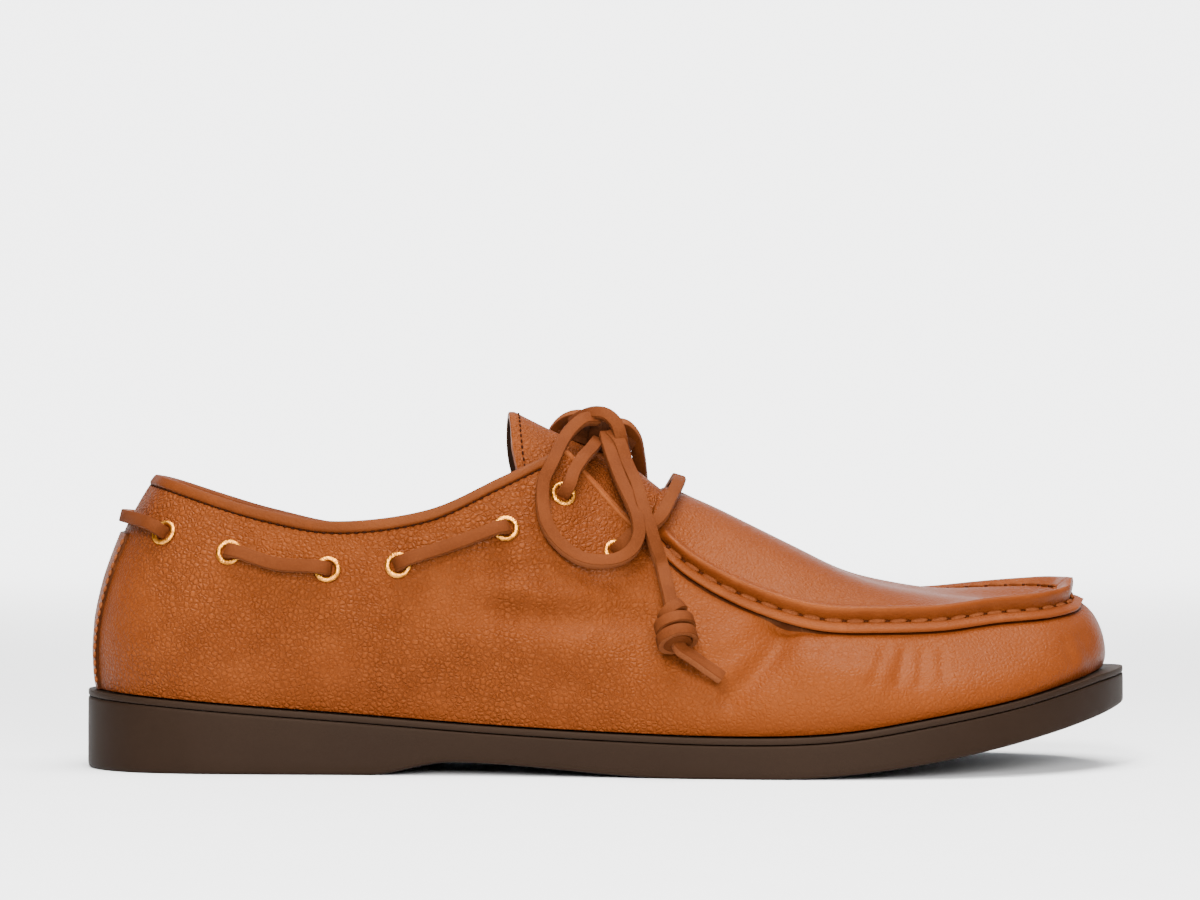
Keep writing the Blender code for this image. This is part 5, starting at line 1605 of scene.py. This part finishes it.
def tread(points, edge):
    """Cuts in the sole's underside: broad grooves, with wavy sipes between them."""
    x = points[..., 0]
    along = x / LENGTH + 0.5
    far = np.full(x.shape, 1.0)
    for place in TREAD_GROOVES:
        far = np.minimum(far, np.abs(x - (place - 0.5) * LENGTH))
    depth = TREAD_DEPTH * (1.0 - smooth_step((far - TREAD_WIDTH / 2 + TREAD_FLANK / 2) / TREAD_FLANK))
    wave = SIPE_WAVE * np.sin(points[..., 1] / SIPE_LENGTH * 2 * math.pi)
    turn = np.abs(((x + wave) / SIPE_PITCH) % 1.0 - 0.5) * SIPE_PITCH
    sipe = SIPE_DEPTH * (1.0 - smooth_step(turn / SIPE_WIDTH)) * smooth_step((far - SIPE_CLEAR) / TREAD_FADE)
    for first, last in TREAD_PARTS:
        within = smooth_step((along - first) / PART_FADE) * smooth_step((last - along) / PART_FADE)
        depth = np.maximum(depth, sipe * within)
    return depth * smooth_step((edge - TREAD_MARGIN) / TREAD_FADE)


def build_outsole():
    sheet = Sheet()
    side = (
        # height, inset: the tread's edge, the plain wall, then the groove under the strip
        (0.00, 0.40), (0.007, 0.24), (0.020, 0.11), (0.042, 0.03), (0.08, 0.00), (0.24, 0.00), (0.40, 0.00),
        (0.60, 0.00), (0.80, 0.01), (0.92, 0.02), (0.965, 0.03), (0.980, 0.05), (0.988, 0.11), (1.00, 0.16),
    )
    plate(sheet, [sole_level(*row) for row in side], OUTSOLE_STEPS, tread)
    return sheet.make("rubber_outsole", [sole_rubber])


def build_strip():
    sheet = Sheet()
    half = MIDSOLE / 2
    levels = []
    for angle in np.radians(np.linspace(-90.0, 90.0, 11)):
        out = max(math.cos(angle), 0.0) ** STRIP_SQUARENESS
        inset = STRIP_INSET + STRIP_BEAD * (1.0 - out)
        levels.append(strip_level(inset, -GAP - half + half * math.sin(angle)))
    plate(sheet, levels, STRIP_STEPS)
    return sheet.make("rubber_strip", [strip_rubber])


def build_sock():
    sheet = Sheet()

    def inside(extra):
        def amount(around):
            return welt(around) + WALL + 2 * GAP + extra
        return amount

    # Inset in millimetres and height as a share of the sock's thickness
    edge = ((0.0, 0.0), (0.0, 0.7), (0.3, 0.93), (0.9, 1.0))
    levels = [strip_level(inside(inset * MM), GAP + INSOLE_THICKNESS * height) for inset, height in edge]
    plate(sheet, levels, SOCK_STEPS)
    return sheet.make("leather_sock", [sock])


finished(build_outsole(), "rubber_sole", "outsole")
finished(build_strip(), "rubber_strip", "midsole_strip")
finished(build_sock(), "sock_leather", "insole")


# Binding and tongue

def build_binding():
    """Leather rolled over the collar's edge."""
    rings = []
    angles = np.radians(np.linspace(-90.0, 270.0, 25)[:-1])
    for side, flip in ((LATERAL, True), (MEDIAL, False)):
        rib = even_ribs(side, 0.0, BINDING_END, BINDING_SPACING, 1.0)
        ribs = Ribs(side, rib)
        _, face = wall(side, rib, np.ones(len(rib)))
        half_width = WALL / 2 + BINDING_PROUD
        half_height = BINDING_HEIGHT / 2
        middle = ribs.top - ribs.rise * half_height - face * WALL / 2
        turns = (np.cos(angles), np.sin(angles))
        out, up = (np.sign(turn) * np.abs(turn) ** BINDING_SQUARENESS for turn in turns)
        ring = (
            middle[:, None]
            + face[:, None] * out[None, :, None] * half_width
            + ribs.rise[:, None] * up[None, :, None] * half_height
        )
        rings.append(ring[::-1] if flip else ring[1:])
    rings = np.concatenate(rings)
    sheet = Sheet()
    index = sheet.grid(rings, 0, around=True)
    sheet.fan(index[0], 0)
    sheet.fan(index[-1], 0)
    return sheet.make("collar_roll", [binding_leather])


def tongue_height(x):
    rows = np.array(TONGUE_LINE)[::-1]
    return LOWEST_EDGE + COLLAR_HEIGHT * curve_value(rows[:, 0], rows[:, 1], x / LENGTH + 0.5)


def tongue_points(share, across):
    """Points on the tongue's outer face, root to top and side to side."""
    root = (TONGUE_LINE[0][0] - 0.5) * LENGTH
    top = (TONGUE_LINE[-1][0] - 0.5) * LENGTH
    rounding = TONGUE_ROUNDING * share ** 6 * np.abs(across) ** 5
    x = root + (top - root) * share - TONGUE_LEAN * share * (across + 1) / 2 + rounding
    y = across * (TONGUE_HALF + (TONGUE_TOP_HALF - TONGUE_HALF) * share)
    drop = TONGUE_DROP * (np.abs(y) / TONGUE_HALF) ** TONGUE_CURVE
    return np.stack((x, y, tongue_height(x) - drop), axis=-1)


def build_tongue():
    down, across = np.linspace(0.0, 1.0, TONGUE_ROWS), np.linspace(-1.0, 1.0, TONGUE_COLUMNS)
    share, across = np.meshgrid(down, across, indexing="ij")
    outer = tongue_points(share, across)
    face = unit(np.cross(np.gradient(outer, axis=1), np.gradient(outer, axis=0)))
    face[face[..., 2] < 0] *= -1
    inner = outer - face * TONGUE_THICKNESS
    sheet = Sheet()
    sheet.grid(outer, 0)
    sheet.grid(inner, 1, flip=True)
    for edge in (np.s_[0, :], np.s_[-1, :], np.s_[:, 0], np.s_[:, -1]):
        sheet.grid(np.stack((outer[edge], inner[edge]), axis=1), 2)
    made = sheet.make("leather_tongue", [tongue_leather, lining, edge_highlight_leather])
    soften = made.modifiers.new("edge", "BEVEL")
    soften.width = TONGUE_EDGE
    soften.segments = 2
    soften.limit_method = "ANGLE"
    soften.angle_limit = math.radians(50)
    return made


def build_facing_edge(side):
    """Folded edge of the facing, from the end of the binding down to the apron: two fine welts, lighter as painted
    highlight.
    """
    rib = np.linspace(BINDING_END + 0.25, THROAT_RIB + 0.05, FACING_ROWS)
    ribs = Ribs(side, rib)
    _, face = wall(side, rib, np.ones(len(rib)))
    angles = np.linspace(0.0, 2 * math.pi, 13)[:-1]
    sheet = Sheet()
    for depth, radius, lift in (
        # how deep in the wall, radius, how far up
        (0.35 * MM, 0.85 * MM, 0.0),
        (WALL - 0.3 * MM, 0.75 * MM, 1.5 * MM),
    ):
        path = ribs.top - face * depth + ribs.rise * lift
        section = np.stack((np.cos(angles), np.sin(angles)), axis=1) * radius
        sweep(sheet, path, face, section)
    return sheet.make("facing_edge_" + side_word(side), [edge_highlight_leather], merge=0, recalculate=True)


finished(build_binding(), "binding_leather", "collar_binding")
for side in (LATERAL, MEDIAL):
    finished(build_facing_edge(side), "binding_leather")
finished(build_tongue(), "tongue_leather", "tongue")


# Eyelets and fixed laces

def build_eyelets():
    """Turned rings with a rolled rim, each with its tube through the leather."""
    hole = EYELET_HOLE / 2
    rim = EYELET_WIDTH / 2
    profile = [(hole, -WALL), (hole, EYELET_LIFT / 2)]
    middle = (hole + rim) / 2
    half = (rim - hole) / 2
    for angle in np.radians(np.linspace(180.0, 0.0, 11)):
        high = EYELET_LIFT + (EYELET_RIM - EYELET_LIFT / 2) * math.sin(angle)
        profile.append((middle + half * math.cos(angle), high))
    foot = EYELET_LIFT / 10
    profile += [(rim - EYELET_LIFT / 2, foot), (hole + EYELET_TUBE, foot), (hole + EYELET_TUBE, -WALL)]
    profile = np.array(profile)
    angles = np.linspace(0.0, 2 * math.pi, 49)[:-1]
    sheet = Sheet()
    for point, face in EYES.values():
        side = unit(np.cross(face, UP))
        other = np.cross(side, face)
        ring = side * np.cos(angles)[:, None] + other * np.sin(angles)[:, None]
        grid = point + ring[:, None] * profile[None, :, :1] + face * profile[None, :, 1:]
        grid = np.concatenate((grid, grid[:1]))
        sheet.grid(grid, 0, around=True)
    return sheet.make("gold_eyelets", [brass], sharp=60)


def build_span(name, side, first, second, sag):
    """Lace between two eyelets on the outside of the collar."""
    middle = (EYES[side, first][0] + EYES[side, second][0]) / 2
    point, face = wall_spot(side, middle[0], middle[2] - sag)
    point = point + face * SPAN_LIFT
    stops = out_of_eyelet(side, first, point) + [(point, face)] + out_of_eyelet(side, second, point)[::-1]
    return lace_mesh(name, stops)[0]


def build_heel_lace():
    back_face = unit(np.array((-1.0, 0.0, 0.25)))
    back, _ = wall(LATERAL, np.array([0.0]), np.array([HEEL_LACE_SHARE]))
    back = back[0] + back_face * (LACE_THICKNESS / 2 + HEEL_LACE_OFF)
    near = back + HEEL_LACE_TURN
    far = near * np.array((1.0, -1.0, 1.0))
    stops = out_of_eyelet(LATERAL, "collar_1", near)
    stops += [(near, unit(np.array((-0.85, -0.5, 0.2)))), (back, back_face)]
    stops += [(far, unit(np.array((-0.85, 0.5, 0.2))))]
    stops += out_of_eyelet(MEDIAL, "collar_1", far)[::-1]
    return lace_mesh("lace_round_heel", stops)[0]


def build_bar():
    near = placed(BAR_ROUTE)
    far = mirrored(BAR_ROUTE) + UP * BAR_MEDIAL_RISE
    middle = placed([BAR_MIDDLE])
    stops = out_of_eyelet(LATERAL, "throat_lower", near[0])
    stops += facing(near[:3], (0.2, -0.7, 0.7))
    stops += facing(np.concatenate((near[3:], middle, far[:2:-1])), (0.3, 0.0, 1.0))
    stops += facing(far[2::-1], (0.2, 0.7, 0.7))
    stops += out_of_eyelet(MEDIAL, "throat_lower", far[0])[::-1]
    return lace_mesh("lace_over_apron", stops)[0]


def build_laces():
    finished(build_heel_lace(), "rawhide_lace", "lace_heel")
    finished(build_bar(), "rawhide_lace", "lace_bar")
    for side, turn in ((LATERAL, placed), (MEDIAL, mirrored)):
        word = side_word(side)
        rear = build_span("lace_collar_rear_" + word, side, "collar_2", "collar_3", REAR_SPAN_SAG)
        finished(rear, "rawhide_lace", "lace_rear_" + word)
        front = build_span("lace_collar_front_" + word, side, "collar_4", "collar_5", 0.0)
        finished(front, "rawhide_lace", "lace_front_" + word)
        strand = turn(STRAND_ROUTE)
        stops = out_of_eyelet(side, "throat_upper", strand[0])[:4] + facing(strand, loop_face(side))
        piece = lace_mesh("lace_to_knot_" + word, stops)[0]
        finished(piece, "rawhide_lace", "lace_strand_" + word)


eyelet_nodes = ["eyelet_" + name + "_" + side_word(side) for side, name in EYES]
finished(build_eyelets(), "brass_eyelet", *eyelet_nodes)
build_laces()


# Stitches

def stitch_tree():
    """Geometry nodes: one rounded stitch at each point, laid along "run" and facing "face"."""
    tree = bpy.data.node_groups.new("thread_stitches", "GeometryNodeTree")
    face = tree.interface
    face.new_socket("Geometry", in_out="INPUT", socket_type="NodeSocketGeometry")
    for name in ("Length", "Width", "Height"):
        face.new_socket(name, in_out="INPUT", socket_type="NodeSocketFloat")
    face.new_socket("Thread", in_out="INPUT", socket_type="NodeSocketMaterial")
    face.new_socket("Geometry", in_out="OUTPUT", socket_type="NodeSocketGeometry")
    start = tree.nodes.new("NodeGroupInput")
    end = tree.nodes.new("NodeGroupOutput")
    ball = tree.nodes.new("GeometryNodeMeshUVSphere")
    ball.inputs["Segments"].default_value = 10
    ball.inputs["Rings"].default_value = 7
    ball.inputs["Radius"].default_value = 0.5
    size = tree.nodes.new("ShaderNodeCombineXYZ")
    shape = tree.nodes.new("GeometryNodeTransform")
    place = tree.nodes.new("GeometryNodeInstanceOnPoints")
    turn = tree.nodes.new("FunctionNodeAxesToRotation")
    turn.primary_axis = "Z"
    turn.secondary_axis = "X"
    real = tree.nodes.new("GeometryNodeRealizeInstances")
    smooth = tree.nodes.new("GeometryNodeSetShadeSmooth")
    paint = tree.nodes.new("GeometryNodeSetMaterial")
    ways = []
    for name in ("face", "run"):
        way = tree.nodes.new("GeometryNodeInputNamedAttribute")
        way.data_type = "FLOAT_VECTOR"
        way.inputs["Name"].default_value = name
        ways.append(way)
    for giver, given, taker, taken in (
        (start, "Length", size, "X"),
        (start, "Width", size, "Y"),
        (start, "Height", size, "Z"),
        (ball, "Mesh", shape, "Geometry"),
        (size, "Vector", shape, "Scale"),
        (ways[0], "Attribute", turn, "Primary Axis"),
        (ways[1], "Attribute", turn, "Secondary Axis"),
        (start, "Geometry", place, "Points"),
        (shape, "Geometry", place, "Instance"),
        (turn, "Rotation", place, "Rotation"),
        (place, "Instances", real, "Geometry"),
        (real, "Geometry", smooth, "Geometry"),
        (smooth, "Geometry", paint, "Geometry"),
        (start, "Thread", paint, "Material"),
        (paint, "Geometry", end, "Geometry"),
    ):
        tree.links.new(giver.outputs[given], taker.inputs[taken])
    return tree


STITCH_TREE = stitch_tree()


def sew(name, line, across, pitch, size, thread, start=0.5):
    """Row of stitches at even distances along a line, as a plain mesh."""
    spots, runs, faces = along_run(line, across, pitch, start)
    mesh = bpy.data.meshes.new(name)
    mesh.from_pydata(np.asarray(spots).tolist(), [], [])
    for key, values in (("run", runs), ("face", faces)):
        made = mesh.attributes.new(key, "FLOAT_VECTOR", "POINT")
        made.data.foreach_set("vector", np.asarray(values, float).ravel())
    holder = bpy.data.objects.new(name + "_points", mesh)
    bpy.context.scene.collection.objects.link(holder)
    nodes = holder.modifiers.new("stitches", "NODES")
    nodes.node_group = STITCH_TREE
    length, width, height = (value * MM for value in size)
    values = {"Length": length, "Width": width, "Height": height, "Thread": thread}
    for item in STITCH_TREE.interface.items_tree:
        if item.in_out == "INPUT" and item.name in values:
            nodes[item.identifier] = values[item.name]
    seen = holder.evaluated_get(bpy.context.evaluated_depsgraph_get())
    made = bpy.data.objects.new(name, bpy.data.meshes.new_from_object(seen))
    bpy.context.scene.collection.objects.link(made)
    bpy.data.objects.remove(holder, do_unlink=True)
    return made


def along_run(points, faces, pitch, start):
    """Spots at even distances along a run, with its way and face at each."""
    lengths = run_lengths(points)
    count = max(2, round(lengths[-1] / pitch))
    wanted = (np.arange(count) + start) / count * lengths[-1]
    ways = read_off(wanted, lengths, np.gradient(points, axis=0))
    return read_off(wanted, lengths, points), unit(ways), unit(read_off(wanted, lengths, faces))


def seam_stitches(side):
    """Thick hand stitches in the groove between the flange and the roll."""
    word = side_word(side)
    made = []
    for name, start, share, lift in SEAM_LINES:
        ribs = Ribs(side, np.linspace(start, TOE_RIB, STITCH_SAMPLES))
        line = ribs.top + ribs.rise * SEAM_WIDTH * share + ribs.face * lift
        holes = line - ribs.face * SEAM_HOLE_SINK
        made.append(sew(
            name + "_stitches_" + word, line, ribs.face, SEAM_PITCH, SEAM_THREAD_SIZE, seam_thread,
        ))
        # Dark dimples at the stitch holes, painted shade
        made.append(sew(name + "_holes_" + word, holes, ribs.face, SEAM_PITCH, SEAM_HOLE_SIZE, pinch, 0.0))
    return made


def binding_stitches(side):
    """Small dark stitches along the binding's lower edge."""
    rib = even_ribs(side, 0.0, BINDING_END, 1.0 * MM, 1.0)
    ribs = Ribs(side, rib)
    _, face = wall(side, rib, np.full(len(rib), 0.98))
    line = ribs.top - ribs.rise * (BINDING_HEIGHT + COLLAR_THREAD_DROP) + face * COLLAR_THREAD_LIFT
    name = "collar_stitches_" + side_word(side)
    return sew(name, line, face, COLLAR_PITCH, COLLAR_THREAD_SIZE, dark_thread)


def tongue_stitches():
    """Row inside the tongue's top edge."""
    across = np.linspace(-0.97, 0.97, ROW_SAMPLES)
    share = np.full(len(across), TONGUE_THREAD_SHARE)
    line = tongue_points(share, across)
    ahead = tongue_points(share + 0.01, across)
    face = unit(np.cross(np.gradient(line, axis=0), ahead - line))
    face[face[:, 2] < 0] *= -1
    line = line + face * TONGUE_THREAD_LIFT
    return sew("tongue_stitches", line, face, TONGUE_PITCH, TONGUE_THREAD_SIZE, dark_thread)


def stay_stitches(side):
    """Row along the heel stay's edge, each stitch half over the gap beside it."""
    share = np.linspace(0.03, STAY_TOP - 0.02, ROW_SAMPLES)
    rib = np.full(len(share), STAY_EDGE * STAY_THREAD_SHARE)
    line, face = wall(side, rib, share)
    line = line + face * (STAY_STEP + STAY_THREAD_LIFT)
    return sew("stay_stitches_" + side_word(side), line, face, STAY_PITCH, STAY_THREAD_SIZE, tan_thread)


for side in (LATERAL, MEDIAL):
    for row in seam_stitches(side):
        finished(row, "pebbled_leather")
    finished(binding_stitches(side), "binding_leather")
    finished(stay_stitches(side), "pebbled_leather")
finished(tongue_stitches(), "tongue_leather")


# Floor, backdrop and light

def build_floor():
    """Pale floor that curves up into a backdrop."""
    sheet = Sheet()
    run = [(FLOOR_FRONT, 0.0), (BACKDROP_START, 0.0)]
    for angle in np.radians(np.linspace(0.0, 90.0, 25)[1:]):
        run.append((
            BACKDROP_START + BACKDROP_RADIUS * math.sin(angle),
            BACKDROP_RADIUS * (1.0 - math.cos(angle)),
        ))
    run.append((BACKDROP_START + BACKDROP_RADIUS, BACKDROP_TOP))
    rows = [[(x, y, z) for y, z in run] for x in (-FLOOR_SIDE, FLOOR_SIDE)]
    sheet.grid(np.array(rows), 0)
    finish = Finish("studio_paper", Roughness=0.9, Specular_IOR_Level=0.0)
    across, back, up = (finish.axis(name) for name in "XYZ")
    glow = finish.between(back, 0.15, 1.9) * finish.between(up, 1.05, 0.60)
    glow = glow * finish.between(across, -1.7, -0.9) * finish.between(across, 1.7, 0.9)
    grain = finish.noise(40.0, 2.0)
    paper = finish.feed(
        Base_Color=finish.mix(grain, (0.625, 0.654, 0.702), (0.645, 0.675, 0.725)),
        Emission_Color=finish.mix(glow, (0.0, 0.0, 0.0), (1.0, 1.0, 1.0)),
    )
    finish.shader.inputs["Emission Strength"].default_value = PAPER_GLOW
    made = sheet.make("studio_floor", [paper], merge=0, recalculate=False)
    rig.stage(made)


def area_light(name, place, target, size, power):
    data = bpy.data.lights.new(name, "AREA")
    data.shape = "RECTANGLE"
    data.size, data.size_y = size
    data.energy = power
    data.color = WARM
    made = bpy.data.objects.new(name, data)
    made.location = place
    made.rotation_euler = (Vector(place) - Vector(target)).to_track_quat("Z", "Y").to_euler()
    bpy.context.scene.collection.objects.link(made)


def build_studio():
    build_floor()
    for row in LIGHTS:
        area_light(*row)
    world = bpy.data.worlds.new("studio")
    world.use_nodes = True
    background = world.node_tree.nodes["Background"]
    background.inputs["Color"].default_value = (*WARM, 1.0)
    background.inputs["Strength"].default_value = WORLD_STRENGTH
    bpy.context.scene.world = world


build_studio()

bpy.context.view_layer.update()
shown_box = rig.bounds()
with open("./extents.json", "w") as out:
    json.dump({
        "cad": [[float(value) for value in corner] for corner in solid_box],
        "visual": [[float(value) for value in corner] for corner in shown_box],
    }, out)
